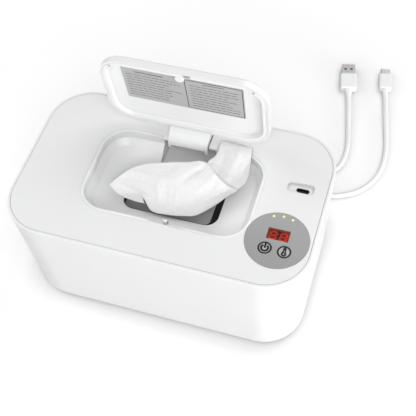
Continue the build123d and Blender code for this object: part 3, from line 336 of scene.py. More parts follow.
# nonwoven cloth: fine crossing fibres, a soft emboss and a little light through it
CLOTH_ALBEDO = 0.90
FIBRE_SCALE = 1500.0
EMBOSS_SCALE = 330.0
nonwoven = Shader("wet_wipe", grey(CLOTH_ALBEDO), 0.72, specular=0.22)
nonwoven.tint(nonwoven.noise(260.0, detail=4.0), grey(CLOTH_ALBEDO * 0.955), grey(CLOTH_ALBEDO * 1.02))
nonwoven.set("Sheen Weight", 0.12)
nonwoven.set("Subsurface Weight", 0.20)
nonwoven.set("Subsurface Radius", (0.004, 0.004, 0.004))
nonwoven.set("Subsurface Scale", 0.6)
fibres_along = nonwoven.noise(FIBRE_SCALE, stretch=(1, 4, 1))
fibres_across = nonwoven.noise(FIBRE_SCALE, stretch=(4, 1, 1))
nonwoven.bump(nonwoven.math("MULTIPLY", fibres_along, fibres_across), 0.0005, 0.45)
nonwoven.bump(nonwoven.step(nonwoven.cells(EMBOSS_SCALE), 0.15, 0.55), 0.0005, 0.32)

# printing ink: material name, shader colour, and the two tones it is mottled between
for ink_name, ink_colour, dark_tone, light_tone in (
    ("ink", (0.012, 0.012, 0.013), (0.009, 0.009, 0.010), (0.020, 0.020, 0.021)),
    ("soft_ink", (0.05, 0.05, 0.052), (0.035, 0.035, 0.037), (0.065, 0.065, 0.068)),
    ("pale_ink", (0.17, 0.17, 0.175), (0.14, 0.14, 0.145), (0.20, 0.20, 0.205)),
):
    ink = Shader(ink_name, ink_colour, 0.5, specular=0.3)
    ink.tint(ink.noise(2500.0), dark_tone, light_tone)

# painted shade: the socket's metal is darker in its depth
port = Shader("port_metal", (0.02, 0.02, 0.021), 0.40, metallic=0.6)
port.tint(port.step(port.axis("Z"), 0.0905, 0.0921), (0.006, 0.006, 0.006), (0.05, 0.05, 0.052))
port.bump(port.noise(1500.0), 0.00003, 0.2)

# each CAD node gets the material that has its slot's name, and the socket its own
for node in NODES.values():
    for place, used in enumerate(node.data.materials):
        node.data.materials[place] = MATERIALS[used.name.split(".")[0]]
NODES["usb_c_receptacle"].data.materials[0] = MATERIALS["port_metal"]


# ---------------------------------------------------------------- helpers for pieces

def add_piece(name, mesh, material, body):
    """Adds a mesh as a piece that rides on a body, with one of MATERIALS."""
    piece = bpy.data.objects.new(name, mesh)
    COLLECTION.objects.link(piece)
    mesh.materials.append(MATERIALS[material])
    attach(piece, body)
    return piece


def mesh_of(name, points, faces, smooth=True):
    mesh = bpy.data.meshes.new(name)
    mesh.from_pydata([tuple(p) for p in points], [], faces)
    mesh.update()
    for face in mesh.polygons:
        face.use_smooth = smooth
    return mesh


def bake(piece):
    """Applies every modifier of a piece to its mesh."""
    graph = bpy.context.evaluated_depsgraph_get()
    made = bpy.data.meshes.new_from_object(piece.evaluated_get(graph))
    piece.modifiers.clear()
    piece.data = made


# ---------------------------------------------------------------- the cable

CORD_DIAMETER = 4.0 * MM
COIL_CENTRE = (20.0, 99.0)
COIL_TURNS = 4.5
COIL_STEPS = 14
# radii of the coil's two lanes, and the height of the middle of a cord that lies on the floor
LANE_OUT = 24.0
LANE_IN = 20.0
LYING = 2.0
# turns of the coil at which the cord moves a lane in, climbs on itself, moves back out and climbs again
MOVE_IN = (0.74, 1.0)
CLIMB = (1.74, 2.0)
MOVE_OUT = (2.50, 2.76)
CLIMB_AGAIN = (3.50, 3.76)

# the cord's way from the USB-A plug to the coil, and from the coil to the USB-C plug
ROUTE_FROM_PLUG = [
    (94.824, 187.964, 4), (97.969, 173.298, 4), (102.4, 152.0, 2), (106.2, 131.0, 2), (104.4, 111.0, 2),
    (93.0, 99.5, 2), (77.0, 98.0, 2), (62.5, 106.0, 2), (49.0, 118.0, 2), (35.5, 122.6, 2),
]
ROUTE_TO_CONNECTOR = [
    (31.0, 75.2, 8.0), (43.0, 76.2, 3.4), (54.0, 79.6, 2), (66.0, 82.6, 2), (84.0, 78.9, 2), (104.0, 79.5, 2),
    (125.0, 90.0, 2), (137.0, 110.0, 2), (138.6, 135.0, 2), (134.2, 158.0, 2), (129.170, 181.216, 4),
    (126.359, 195.950, 4),
]


def eased(value, low, high):
    share = min(1.0, max(0.0, (value - low) / (high - low)))
    return share * share * (3 - 2 * share)


def climbing(share):
    """The rise of a turn that rolls over its neighbour as that one moves aside by a lane."""
    return LYING * math.sqrt(max(0.0, 1 - (1 - share) ** 2)) * 2


def coil_point(turn):
    """Two lanes on the floor, two on top of them, and half a turn over those."""
    inward = eased(turn, *MOVE_IN) - eased(turn, *MOVE_OUT)
    radius = LANE_OUT - (LANE_OUT - LANE_IN) * inward
    height = LYING + climbing(eased(turn, *CLIMB)) + climbing(eased(turn, *CLIMB_AGAIN))
    angle = math.pi / 2 + turn * 2 * math.pi
    return (COIL_CENTRE[0] + radius * math.cos(angle), COIL_CENTRE[1] + radius * math.sin(angle), height)


coil_points = [coil_point(step / COIL_STEPS) for step in range(int(COIL_TURNS * COIL_STEPS) + 1)]
route = [Vector(p) * MM for p in ROUTE_FROM_PLUG + coil_points + ROUTE_TO_CONNECTOR]

cord_curve = bpy.data.curves.new("charging_cord", "CURVE")
cord_curve.dimensions = "3D"
spline = cord_curve.splines.new("NURBS")
spline.points.add(len(route) - 1)
for point, place in zip(spline.points, route):
    point.co = (*place, 1)
spline.order_u = 3
spline.use_endpoint_u = True
spline.resolution_u = 8
cord_curve.bevel_depth = CORD_DIAMETER / 2
cord_curve.bevel_resolution = 6
cord_curve.use_fill_caps = True
cord_curve.materials.append(MATERIALS["cable_jacket"])
cord = bpy.data.objects.new("charging_cord", cord_curve)
COLLECTION.objects.link(cord)
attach(cord, "housing")
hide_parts("usb_a_cord", "usb_c_cord", "cord_coil")


# ---------------------------------------------------------------- the wipe that is pulled up

def catmull(points, share):
    """A smooth curve through evenly shared points."""
    place = share * (len(points) - 1)
    first = min(int(place), len(points) - 2)
    t = place - first
    p1, p2 = points[first], points[first + 1]
    p0 = points[first - 1] if first else p1 * 2 - p2
    p3 = points[first + 2] if first + 2 < len(points) else p2 * 2 - p1
    return (p1 * 2 + (p2 - p0) * t + (p0 * 2 - p1 * 5 + p2 * 4 - p3) * t * t
            + (p1 * 3 - p0 - p2 * 3 + p3) * t * t * t) * 0.5


def vectors(points):
    return [Vector(p) for p in points]


def surface(rows, across, along):
    """A grid of points over rows of control points, smooth both ways."""
    return [
        [catmull([catmull(row, u / across) for row in rows], v / along) for u in range(across + 1)]
        for v in range(along + 1)
    ]


def ripple(x, y, seed):
    """A soft unevenness that has no visible pattern."""
    return (math.sin(x * 0.31 + seed) * math.cos(y * 0.27 - seed * 1.7)
            + 0.6 * math.sin(x * 0.13 - y * 0.21 + seed * 2.3)
            + 0.35 * math.sin(x * 0.55 + y * 0.47 + seed * 0.9))


class Cloth:
    """Collects grids of points, in mm, for one mesh; a weld joins the edges that meet."""

    def __init__(self):
        self.points = []
        self.faces = []

    def grid(self, rows):
        start = len(self.points)
        wide = len(rows[0])
        for row in rows:
            self.points.extend(p * MM for p in row)
        for v in range(len(rows) - 1):
            for u in range(wide - 1):
                a = start + v * wide + u
                self.faces.append((a, a + 1, a + wide + 1, a + wide))


# the lobe's ridge, left tip to right tip, and the free edge below it
RIDGE = vectors([
    (-43.8, -10.8, 90.0), (-37.6, -4.6, 94.0), (-30.4, 2.0, 97.0), (-20.3, 7.2, 99.0), (-6.7, 10.4, 101.0),
    (7.7, 13.4, 102.5), (20.0, 16.5, 103.0), (31.6, 9.0, 99.5), (39.1, 6.6, 95.0), (46.1, 7.5, 90.5),
])
FREE_EDGE = vectors([
    (-43.4, -11.4, 89.4), (-34.6, -14.2, 84.0), (-20.7, -11.3, 86.0), (-10.0, -19.6, 82.0),
    (1.4, -19.5, 81.0), (14.0, -17.3, 81.0), (22.5, -14.1, 81.0), (32.8, -4.3, 83.0),
    (40.0, 3.8, 86.0), (45.6, 7.0, 89.4),
])
# how far the cloth arches out between them at each of these points, in mm
CROWN = (0.0, 1.0, 2.2, 3.6, 4.8, 5.0, 4.4, 3.0, 1.3, 0.0)
# rows of the lobe: share of the way from the ridge to the free edge, and share of the crown
LOBE_ROWS = ((0.0, 0.0), (0.16, 0.42), (0.36, 0.85), (0.56, 1.0), (0.76, 0.86), (0.90, 0.50), (1.0, 0.0))
ARCH_DIRECTION = camera_back.normalized()


def lobe_rows():
    """Rows from the ridge, over the crown, down to the free edge."""
    rows = []
    for share, lift in LOBE_ROWS:
        lines = zip(RIDGE, FREE_EDGE, CROWN)
        rows.append([top.lerp(low, share) + ARCH_DIRECTION * crown * lift for top, low, crown in lines])
    return rows


def crease(place, start, end, width, depth):
    """How much a point that the camera sees near a fold line is pushed up or down."""
    line = end - start
    share = min(1.0, max(0.0, (place - start).dot(line) / line.length_squared))
    offset = place - (start + line * share)
    distance = (offset - camera_back * offset.dot(camera_back)).length
    weaker_at_ends = math.sin(math.pi * (0.12 + 0.76 * share))
    return depth * math.exp(-(distance / width) ** 2) * weaker_at_ends


# fold lines of the lobe: start, end, width and how far the cloth stands up or sinks there, in mm
FOLDS = [
    ((20.0, 15.5, 103.0), (7.0, -2.0, 102.0), 1.8, 0.3),
    ((21.0, 12.8, 102.6), (8.5, -3.0, 101.6), 2.1, -1.15),
    ((29.0, 9.0, 100.0), (16.0, -12.0, 92.0), 2.3, 0.7),
    ((33.0, 6.5, 98.0), (24.0, -9.0, 90.0), 2.0, -0.8),
    ((40.0, 4.5, 93.5), (26.0, -6.0, 88.5), 1.2, 1.0),
    ((-40.0, -9.0, 91.5), (-14.0, -8.0, 98.0), 1.5, 1.5),
    ((-36.0, -9.5, 91.0), (-12.0, -14.5, 91.0), 1.4, -1.4),
    ((-30.0, 0.0, 96.5), (-4.0, -4.0, 102.0), 1.8, 1.3),
    ((-26.0, -4.0, 96.0), (-8.0, -9.0, 99.0), 1.5, -1.2),
    ((-8.0, -6.0, 100.0), (-4.0, -18.0, 86.0), 1.6, 1.4),
    ((-2.0, -5.0, 101.0), (2.0, -18.5, 85.0), 1.4, -1.1),
    ((6.0, -8.0, 99.0), (9.0, -18.0, 84.0), 1.5, 1.1),
    ((0.0, 9.0, 102.0), (-4.0, -2.0, 102.5), 1.8, -0.9),
]
FOLD_LIFT = Vector((0.15, -0.45, 0.88))
HELD_ROWS = 4


def folded(rows, folds, amount, seed):
    """Presses fold lines and a soft unevenness into a grid, less near its first row."""
    made = []
    for v, row in enumerate(rows):
        hold = eased(v, 0, HELD_ROWS)
        lifted = []
        for place in row:
            push = amount * ripple(place.x, place.y, seed)
            for start, end, width, depth in folds:
                push += crease(place, Vector(start), Vector(end), width, depth)
            lifted.append(place + FOLD_LIFT * push * hold)
        made.append(lifted)
    return made


lobe = folded(surface(lobe_rows(), across=132, along=60), FOLDS, amount=0.22, seed=0.7)

# the flap that rises from the slot behind the lobe, lies over the tray's rim and reaches under the open lid
FLAP = [
    vectors([(4.0, 1.9, 76.6), (6.0, 1.9, 76.6), (8.0, 1.9, 76.6), (9.6, 1.7, 76.6)]),
    vectors([(12.0, 10.5, 88.5), (19.0, 8.0, 86.5), (26.5, 6.0, 84.0), (33.0, 5.0, 81.6)]),
    vectors([(19.7, 20.0, 96.1), (28.2, 15.2, 94.5), (36.4, 11.2, 92.2), (44.1, 9.0, 86.6)]),
    vectors([(21.0, 24.3, 95.7), (30.6, 20.9, 94.4), (40.2, 17.5, 93.1), (49.3, 16.3, 88.2)]),
    vectors([(23.3, 27.5, 95.6), (32.7, 25.2, 95.9), (41.6, 24.0, 95.1), (50.1, 24.8, 91.2)]),
    vectors([(24.6, 32.3, 96.2), (33.0, 31.8, 97.5), (41.1, 31.9, 97.9), (48.8, 33.9, 95.6)]),
    vectors([(24.6, 38.5, 96.9), (32.6, 37.7, 98.0), (40.3, 38.1, 97.6), (47.9, 39.1, 96.3)]),
    vectors([(23.8, 43.1, 96.3), (31.7, 42.6, 96.8), (39.4, 42.3, 96.6), (47.2, 42.2, 96.2)]),
]
FLAP_FOLDS = [
    ((37.0, 12.0, 93.0), (40.0, 38.0, 97.5), 2.6, 0.9),
    ((29.0, 14.0, 95.0), (31.0, 36.0, 97.0), 2.4, -0.9),
    ((45.0, 13.0, 88.5), (46.0, 33.0, 95.5), 1.7, 0.6),
]
flap = folded(surface(FLAP, across=48, along=70), FLAP_FOLDS, amount=0.16, seed=2.1)

# the gathered back, from the ridge down to the slot, and the pleated stem below it
SLOT_LEFT = -17.4
SLOT_RIGHT = 9.4
SLOT_Y = 0.3
SLOT_TOP = 76.5
STEM_FOOT = 36.2
PLEATS = 13
PLEAT_SWING = 2.1
PLEAT_LEAN = 0.55
STEM_SWAY = 0.5
GATHER_STEPS = 14
STEM_STEPS = 16
ACROSS_STEPS = 216
# how far the gathered back bulges toward the back, and how much more at each pleat, in mm
BELLY = 2.88
BELLY_PLEAT = 1.08


def pleat(share, height):
    """A point of the gathered width, folded to and fro within the slot."""
    phase = share * PLEATS * 2 * math.pi
    x = SLOT_LEFT + (SLOT_RIGHT - SLOT_LEFT) * share + PLEAT_LEAN * math.sin(phase * 2)
    return Vector((x, SLOT_Y + PLEAT_SWING * math.sin(phase), height))


def gathered_rows():
    """Rows from the slot up to the ridge: pleats that open out."""
    rows = []
    for step in range(GATHER_STEPS + 1):
        share = step / GATHER_STEPS
        row = []
        for u in range(ACROSS_STEPS + 1):
            across = u / ACROSS_STEPS
            low = pleat(across, SLOT_TOP)
            high = catmull(RIDGE, across)
            place = low.lerp(high, eased(share, 0.0, 1.0))
            place.z = low.z + (high.z - low.z) * share ** 0.8
            belly = BELLY + BELLY_PLEAT * math.sin(across * PLEATS * 2 * math.pi)
            place.y += math.sin(math.pi * share) * belly
            row.append(place)
        rows.append(row)
    return rows


def stem_rows():
    """Rows from the stack up to the slot: pleats that sway a little."""
    rows = []
    for step in range(STEM_STEPS + 1):
        share = step / STEM_STEPS
        row = []
        for u in range(ACROSS_STEPS + 1):
            across = u / ACROSS_STEPS
            place = pleat(across, STEM_FOOT + (SLOT_TOP - STEM_FOOT) * share)
            place.x += STEM_SWAY * math.sin(share * 7.0 + across * 5.0)
            row.append(place)
        rows.append(row)
    return rows


# the small corner that turns under the lobe's left end
CORNER = [
    vectors([(-34.8, -12.4, 84.6), (-29.8, -11.0, 85.6), (-25.4, -9.6, 86.0), (-20.0, -8.2, 86.0)]),
    vectors([(-33.3, -13.9, 82.5), (-28.8, -13.3, 82.0), (-24.2, -12.8, 81.5), (-18.5, -12.6, 81.0)]),
    vectors([(-31.2, -13.9, 81.5), (-26.9, -13.9, 80.5), (-22.0, -14.0, 80.0), (-16.9, -14.0, 80.0)]),
]
CORNER_FOLDS = [
    ((-30.0, -11.5, 84.5), (-24.0, -13.5, 80.8), 1.0, 0.5),
    ((-26.0, -10.5, 85.0), (-19.0, -13.5, 80.5), 1.0, -0.5),
]
WIPE_THICKNESS = 0.45 * MM
SEAM_REACH = 0.12 * MM

cloth = Cloth()
cloth.grid(lobe)
cloth.grid(flap)
cloth.grid(gathered_rows())
cloth.grid(stem_rows())
cloth.grid(folded(surface(CORNER, across=26, along=16), CORNER_FOLDS, amount=0.12, seed=4.4))

wipe_mesh = mesh_of("pulled_up_wipe", cloth.points, cloth.faces)
wipe = add_piece("pulled_up_wipe", wipe_mesh, "wet_wipe", "cover")
weld = wipe.modifiers.new("weld", "WELD")
weld.merge_threshold = SEAM_REACH
thicken = wipe.modifiers.new("thicken", "SOLIDIFY")
thicken.thickness = WIPE_THICKNESS
thicken.offset = 0.0
bake(wipe)
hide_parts("pulled_wipe")
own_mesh(wipe)


# ---------------------------------------------------------------- the folded stack in the tub

WIPES_IN_STACK = 16
STACK_SEED = 11
SLAB_STEPS_X = 44
SLAB_STEPS_Y = 26
SLAB_INSET = 0.9 * MM
SLAB_WAVE = 0.10 * MM
# share of its room that a slab fills, and the share of that height at its cut left and right ends
SLAB_FILL = 0.97
CUT_END = 0.72


def slab_points(low, high, base, half, shift, phase):
    """The lower and then the upper side of one slab, rounded at its front and back folds."""
    points = []
    for side in (-1, 1):
        for j in range(SLAB_STEPS_Y + 1):
            for i in range(SLAB_STEPS_X + 1):
                u, v = i / SLAB_STEPS_X, j / SLAB_STEPS_Y
                edge_u = min(u, 1 - u) * (high.x - low.x)
                edge_v = min(v, 1 - v) * (high.y - low.y)
                round_u = CUT_END + (1 - CUT_END) * eased(edge_u, 0.0, half)
                round_v = math.sqrt(max(0.0, 1 - max(0.0, 1 - edge_v / half) ** 2))
                x = low.x + SLAB_INSET + u * (high.x - low.x - 2 * SLAB_INSET) + shift.x
                y = low.y + SLAB_INSET + v * (high.y - low.y - 2 * SLAB_INSET) + shift.y
                wave = SLAB_WAVE * math.sin(u * 9 + phase) * math.cos(v * 5 + phase)
                rise = half * SLAB_FILL * round_v * round_u * side
                points.append(Vector((x, y, base + half + rise + wave * round_v)))
    return points


def slab_faces(start):
    """The faces of one slab: its two sides, and the walls that close them."""
    row = SLAB_STEPS_X + 1
    size = row * (SLAB_STEPS_Y + 1)
    faces = []
    for side in range(2):
        for j in range(SLAB_STEPS_Y):
            for i in range(SLAB_STEPS_X):
                a = start + side * size + j * row + i
                quad = (a, a + 1, a + row + 1, a + row)
                faces.append(quad if side else quad[::-1])
    for j in range(SLAB_STEPS_Y):
        for i in (0, SLAB_STEPS_X):
            a = start + j * row + i
            quad = (a, a + row, a + size + row, a + size)
            faces.append(quad if i else quad[::-1])
    for i in range(SLAB_STEPS_X):
        for j in (0, SLAB_STEPS_Y):
            a = start + j * row + i
            quad = (a, a + 1, a + size + 1, a + size)
            faces.append(quad[::-1] if j else quad)
    return faces


def stack_of_wipes(low, high):
    """Folded wipes lying on each other, each shifted and waved a little by chance."""
    chance = random.Random(STACK_SEED)
    points, faces = [], []
    pitch = (high.z - low.z) / WIPES_IN_STACK
    for layer in range(WIPES_IN_STACK):
        shift = Vector((chance.uniform(-0.5, 0.5), chance.uniform(-0.4, 0.4), 0)) * MM
        phase = chance.uniform(0, 6.28)
        faces.extend(slab_faces(len(points)))
        points.extend(slab_points(low, high, low.z + layer * pitch, pitch / 2, shift, phase))
    return points, faces


stack_points, stack_faces = stack_of_wipes(*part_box("wipe_stack"))
stack_mesh = mesh_of("folded_stack", stack_points, stack_faces)
stack = add_piece("folded_stack", stack_mesh, "wet_wipe", "housing")
stack_weld = stack.modifiers.new("weld", "WELD")
stack_weld.merge_threshold = 0.02 * MM
bake(stack)
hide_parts("wipe_stack")


# ---------------------------------------------------------------- the display's lit segments

DIGIT_WIDTH = 5.3
DIGIT_HEIGHT = 7.3
DIGIT_STROKE = 1.35
DIGIT_PITCH = 7.1
DIGIT_SLANT = 0.09
SEGMENT_GAP = 0.14


def prism(points, faces, outline, low, high):
    """Adds an upright solid over a flat outline given in mm, from low to high in metres."""
    start = len(points)
    count = len(outline)
    for z in (low, high):
        points.extend(Vector((p[0] * MM, p[1] * MM, z)) for p in outline)
    faces.append(tuple(range(start + count - 1, start - 1, -1)))
    faces.append(tuple(range(start + count, start + 2 * count)))
    for i in range(count):
        j = (i + 1) % count
        faces.append((start + i, start + j, start + count + j, start + count + i))


def segment_outline(start, end, centre):
    """A bar with pointed ends, leaning with the digit."""
    start, end = Vector(start), Vector(end)
    along = (end - start).normalized()
    side = Vector((-along.y, along.x)) * DIGIT_STROKE / 2
    tip = along * DIGIT_STROKE / 2
    start += along * SEGMENT_GAP
    end -= along * SEGMENT_GAP
    corners = (start, start + tip - side, end - tip - side, end, end - tip + side, start + tip + side)
    return [(centre[0] + p.x + p.y * DIGIT_SLANT, centre[1] + p.y) for p in corners]


digits_low, digits_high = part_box("display_digits")
digit_x = (DIGIT_WIDTH - DIGIT_STROKE) / 2
digit_y = (DIGIT_HEIGHT - DIGIT_STROKE) / 2
segment_points, segment_faces = [], []
for digit_shift in (-DIGIT_PITCH / 2, DIGIT_PITCH / 2):
    centre = (WINDOW_CENTRE[0] / MM + digit_shift, WINDOW_CENTRE[1] / MM)
    bars = [((-digit_x, y), (digit_x, y)) for y in (-digit_y, 0, digit_y)]
    bars += [((x, y), (x, y + digit_y)) for x in (-digit_x, digit_x) for y in (-digit_y, 0)]
    for bar_start, bar_end in bars:
        outline = segment_outline(bar_start, bar_end, centre)
        prism(segment_points, segment_faces, outline, digits_low.z, digits_high.z)
segment_mesh = mesh_of("display_segments", segment_points, segment_faces, smooth=False)
segments = add_piece("display_segments", segment_mesh, "red_segments", "cover")
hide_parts("display_digits")


# ---------------------------------------------------------------- the seal round the plate

OPENING = (-35.0, -18.7, 37.0, 19.3)
OPENING_RADIUS = 9.0
# the ring lies this far under the cover, and this much of it shows on three sides and on the right, in mm
SEAL_SEAT = 2.0
SEAL_SHOWN_NARROW = 1.5
SEAL_SHOWN_WIDE = 5.2
SEAL_INNER_RADIUS = 4.4
LOOP_STEPS = 10


def rounded_loop(x0, y0, x1, y1, radius):
    """The outline of a rectangle with round corners."""
    loop = []
    for corner, (x, y) in enumerate(((x1 - radius, y0 + radius), (x1 - radius, y1 - radius),
                                     (x0 + radius, y1 - radius), (x0 + radius, y0 + radius))):
        for step in range(LOOP_STEPS + 1):
            angle = math.radians(-90 + 90 * corner + 90 * step / LOOP_STEPS)
            loop.append((x + radius * math.cos(angle), y + radius * math.sin(angle)))
    return loop


def ring_between(outside, inside, low, high):
    """A closed ring between two outlines in mm, from low to high in metres."""
    points = [Vector((x * MM, y * MM, z)) for z in (low, high) for loop in (outside, inside) for x, y in loop]
    count = len(outside)
    faces = []
    for i in range(count):
        j = (i + 1) % count
        out_low, in_low, out_high, in_high = ((row * count + i, row * count + j) for row in range(4))
        faces.append((out_low[0], out_low[1], out_high[1], out_high[0]))
        faces.append((in_low[1], in_low[0], in_high[0], in_high[1]))
        faces.append((out_high[0], out_high[1], in_high[1], in_high[0]))
        faces.append((out_low[1], out_low[0], in_low[0], in_low[1]))
    return points, faces


seal_low, seal_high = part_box("plate_seal")
left, front, right, back = OPENING
outside = rounded_loop(
    left - SEAL_SEAT, front - SEAL_SEAT, right + SEAL_SEAT, back + SEAL_SEAT,
    OPENING_RADIUS + SEAL_SEAT,
)
inside = rounded_loop(
    left + SEAL_SHOWN_NARROW, front + SEAL_SHOWN_NARROW, right - SEAL_SHOWN_WIDE, back - SEAL_SHOWN_NARROW,
    SEAL_INNER_RADIUS,
)
seal_points, seal_faces = ring_between(outside, inside, seal_low.z, seal_high.z)
seal_mesh = mesh_of("seal_ring", seal_points, seal_faces, smooth=False)
seal_ring = add_piece("seal_ring", seal_mesh, "seal_rubber", "cover")
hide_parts("plate_seal")


# ---------------------------------------------------------------- the soft lip of the tray's edge

TRAY_CENTRE = Vector((1.0, 0.3))
TRAY_HALF = Vector((60.5, 35.1))
TRAY_RADIUS = 18.5
COVER_TOP = 95.0
# the lip stops at the hinge's notch and at the finger notch: from and to, in X
HINGE_NOTCH = (-18.8, 22.8)
FINGER_NOTCH = (-4.9, 9.4)
CORNER_STEPS = 14
# across the lip: how far out from the tray's edge, and how high over the cover
LIP_SECTION = (
    (0.05, -0.10), (0.05, 0.06), (0.25, 0.24), (0.65, 0.38),
    (1.10, 0.40), (1.60, 0.26), (2.0, 0.0), (1.9, -0.10),
)


def tray_edge(side):
    """Places and outward directions along one half of the tray's edge, from the hinge to the front."""
    centre = TRAY_CENTRE + Vector(((TRAY_HALF.x - TRAY_RADIUS) * side, TRAY_HALF.y - TRAY_RADIUS))
    edge = [(Vector((HINGE_NOTCH[side > 0], TRAY_CENTRE.y + TRAY_HALF.y)), Vector((0, 1)))]
    for corner in range(2):
        for step in range(CORNER_STEPS + 1):
            angle = math.radians(90 * (1 - corner) - 90 * step / CORNER_STEPS)
            out = Vector((math.cos(angle) * side, math.sin(angle)))
            edge.append((centre + out * TRAY_RADIUS, out))
        centre = centre - Vector((0, 2 * (TRAY_HALF.y - TRAY_RADIUS)))
    edge.append((Vector((FINGER_NOTCH[side > 0], TRAY_CENTRE.y - TRAY_HALF.y)), Vector((0, -1))))
    return edge


lip_points, lip_faces = [], []
across = len(LIP_SECTION)
for side in (-1, 1):
    start = len(lip_points)
    edge = tray_edge(side)
    for place, out in edge:
        for offset, rise in LIP_SECTION:
            spot = place + out * offset
            lip_points.append(Vector((spot.x, spot.y, COVER_TOP + rise)) * MM)
    for i in range(len(edge) - 1):
        for j in range(across):
            k = (j + 1) % across
            a, b = start + i * across, start + (i + 1) * across
            quad = (a + j, a + k, b + k, b + j)
            lip_faces.append(quad if side > 0 else quad[::-1])
    first = tuple(range(start, start + across))
    last = tuple(range(len(lip_points) - across, len(lip_points)))
    lip_faces.append(first[::-1] if side > 0 else first)
    lip_faces.append(last if side > 0 else last[::-1])
add_piece("tray_lip", mesh_of("tray_lip", lip_points, lip_faces), "cover_plastic", "cover")


# ---------------------------------------------------------------- printed marks, all generic, and a painted shadow by the catch

DEGREES_PER_STEP = 5
DISC_STEPS = 24
ROUND_END_STEPS = 8
PRINT_LIFT = 0.03


def around(centre, radius, angle):
    return (centre[0] + radius * math.cos(angle), centre[1] + radius * math.sin(angle))


def flat_mark(name, outline, faces, height, material, body):
    """A printed mark on a level face, from flat points and a height in mm."""
    points = [Vector((x, y, height)) * MM for x, y in outline]
    return add_piece(name, mesh_of(name, points, faces, smooth=False), material, body)


def ring_mark(name, centre, radius, width, height, material, body, start=0.0, turn=360.0):
    """A flat ring or arc."""
    steps = int(turn / DEGREES_PER_STEP)
    outline = []
    for step in range(steps + 1):
        angle = math.radians(start + turn * step / steps)
        outline += [around(centre, radius - width / 2, angle), around(centre, radius + width / 2, angle)]
    faces = [(2 * step, 2 * step + 1, 2 * step + 3, 2 * step + 2) for step in range(steps)]
    return flat_mark(name, outline, faces, height, material, body)


def stroke_mark(name, centre, low, high, width, height, material, body):
    """A line with round ends, from low to high as measured along Y from the centre."""
    outline = []
    for end, first in ((high, 0), (low, 180)):
        for step in range(ROUND_END_STEPS + 1):
            angle = math.radians(first + 180 * step / ROUND_END_STEPS)
            outline.append(around((centre[0], centre[1] + end), width / 2, angle))
    return flat_mark(name, outline, [tuple(range(len(outline)))], height, material, body)


def disc_mark(name, centre, radius, height, material, body):
    outline = [around(centre, radius, 2 * math.pi * step / DISC_STEPS) for step in range(DISC_STEPS)]
    return flat_mark(name, outline, [tuple(range(DISC_STEPS))], height, material, body)


POWER = (77.6, -35.7)
TEMPERATURE = (90.9, -35.7)
BULB = (TEMPERATURE[0], TEMPERATURE[1] - 1.55)
KEY_RING_RADIUS = 4.15
KEY_RING_WIDTH = 1.08
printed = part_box("power_key")[1].z / MM + PRINT_LIFT
printed_over = printed + 0.02

ring_mark("power_ring", POWER, KEY_RING_RADIUS, KEY_RING_WIDTH, printed, "ink", "power_key")
ring_mark("power_symbol", POWER, 2.35, 1.45, printed, "ink", "power_key", start=122, turn=296)
stroke_mark("power_stroke", POWER, 0.4, 3.05, 1.40, printed, "ink", "power_key")
ring_mark("temperature_ring", TEMPERATURE, KEY_RING_RADIUS, KEY_RING_WIDTH, printed, "ink", "temperature_key")
stroke_mark("thermometer_tube", TEMPERATURE, -1.2, 2.5, 2.30, printed, "ink", "temperature_key")
disc_mark("thermometer_bulb", BULB, 1.85, printed, "ink", "temperature_key")
disc_mark("thermometer_well", BULB, 0.62, printed_over, "key_plastic", "temperature_key")
stroke_mark("thermometer_level", TEMPERATURE, -0.2, 1.0, 0.42, printed_over, "key_plastic", "temperature_key")

# a painted shadow: a dark sheet on the right side of the cover's catch, where the gap beside it lies in
# shade; its X, and its corners in Y and Z
CATCH_SIDE_X = 7.44
CATCH_CORNERS = ((-32.3, 89.9), (-30.4, 89.9), (-30.4, 92.1), (-32.3, 92.1))
catch_points = [Vector((CATCH_SIDE_X, y, z)) * MM for y, z in CATCH_CORNERS]
add_piece("catch_shade", mesh_of("catch_shade", catch_points, [(0, 1, 2, 3)], smooth=False), "ink", "cover")

# the lid's hinge, and how far the lid is open at rest
HINGE = Vector((0, 45.15, 91.0))
OPEN_ANGLE = math.radians(83.3)
opened = Matrix.Rotation(-OPEN_ANGLE, 3, "X")
closed = Matrix.Rotation(OPEN_ANGLE, 3, "X")
label_points = [closed @ (v.co / MM - HINGE) + HINGE for v in NODES["lid_label"].data.vertices]
LABEL_LOW = Vector((min(p.x for p in label_points), min(p.y for p in label_points)))
LABEL_HIGH = Vector((max(p.x for p in label_points), max(p.y for p in label_points)))
LABEL_FACE = min(p.z for p in label_points) - PRINT_LIFT


def label_marks(name, bars, material):
    """Printed bars on the label, given with the lid closed as (x from, y from, x to, y to), in mm."""
    points, faces = [], []
    for x0, y0, x1, y1 in bars:
        start = len(points)
        for x, y in ((x0, y0), (x1, y0), (x1, y1), (x0, y1)):
            points.append((opened @ (Vector((x, y, LABEL_FACE)) - HINGE) + HINGE) * MM)
        faces.append((start + 3, start + 2, start + 1, start))
    return add_piece(name, mesh_of(name, points, faces, smooth=False), material, "lid")


def frame_bars(x0, y0, x1, y1, width):
    """The four bars of a rectangular frame."""
    return [
        (x0, y0, x1, y0 + width), (x0, y1 - width, x1, y1),
        (x0, y0, x0 + width, y1), (x1 - width, y0, x1, y1),
    ]


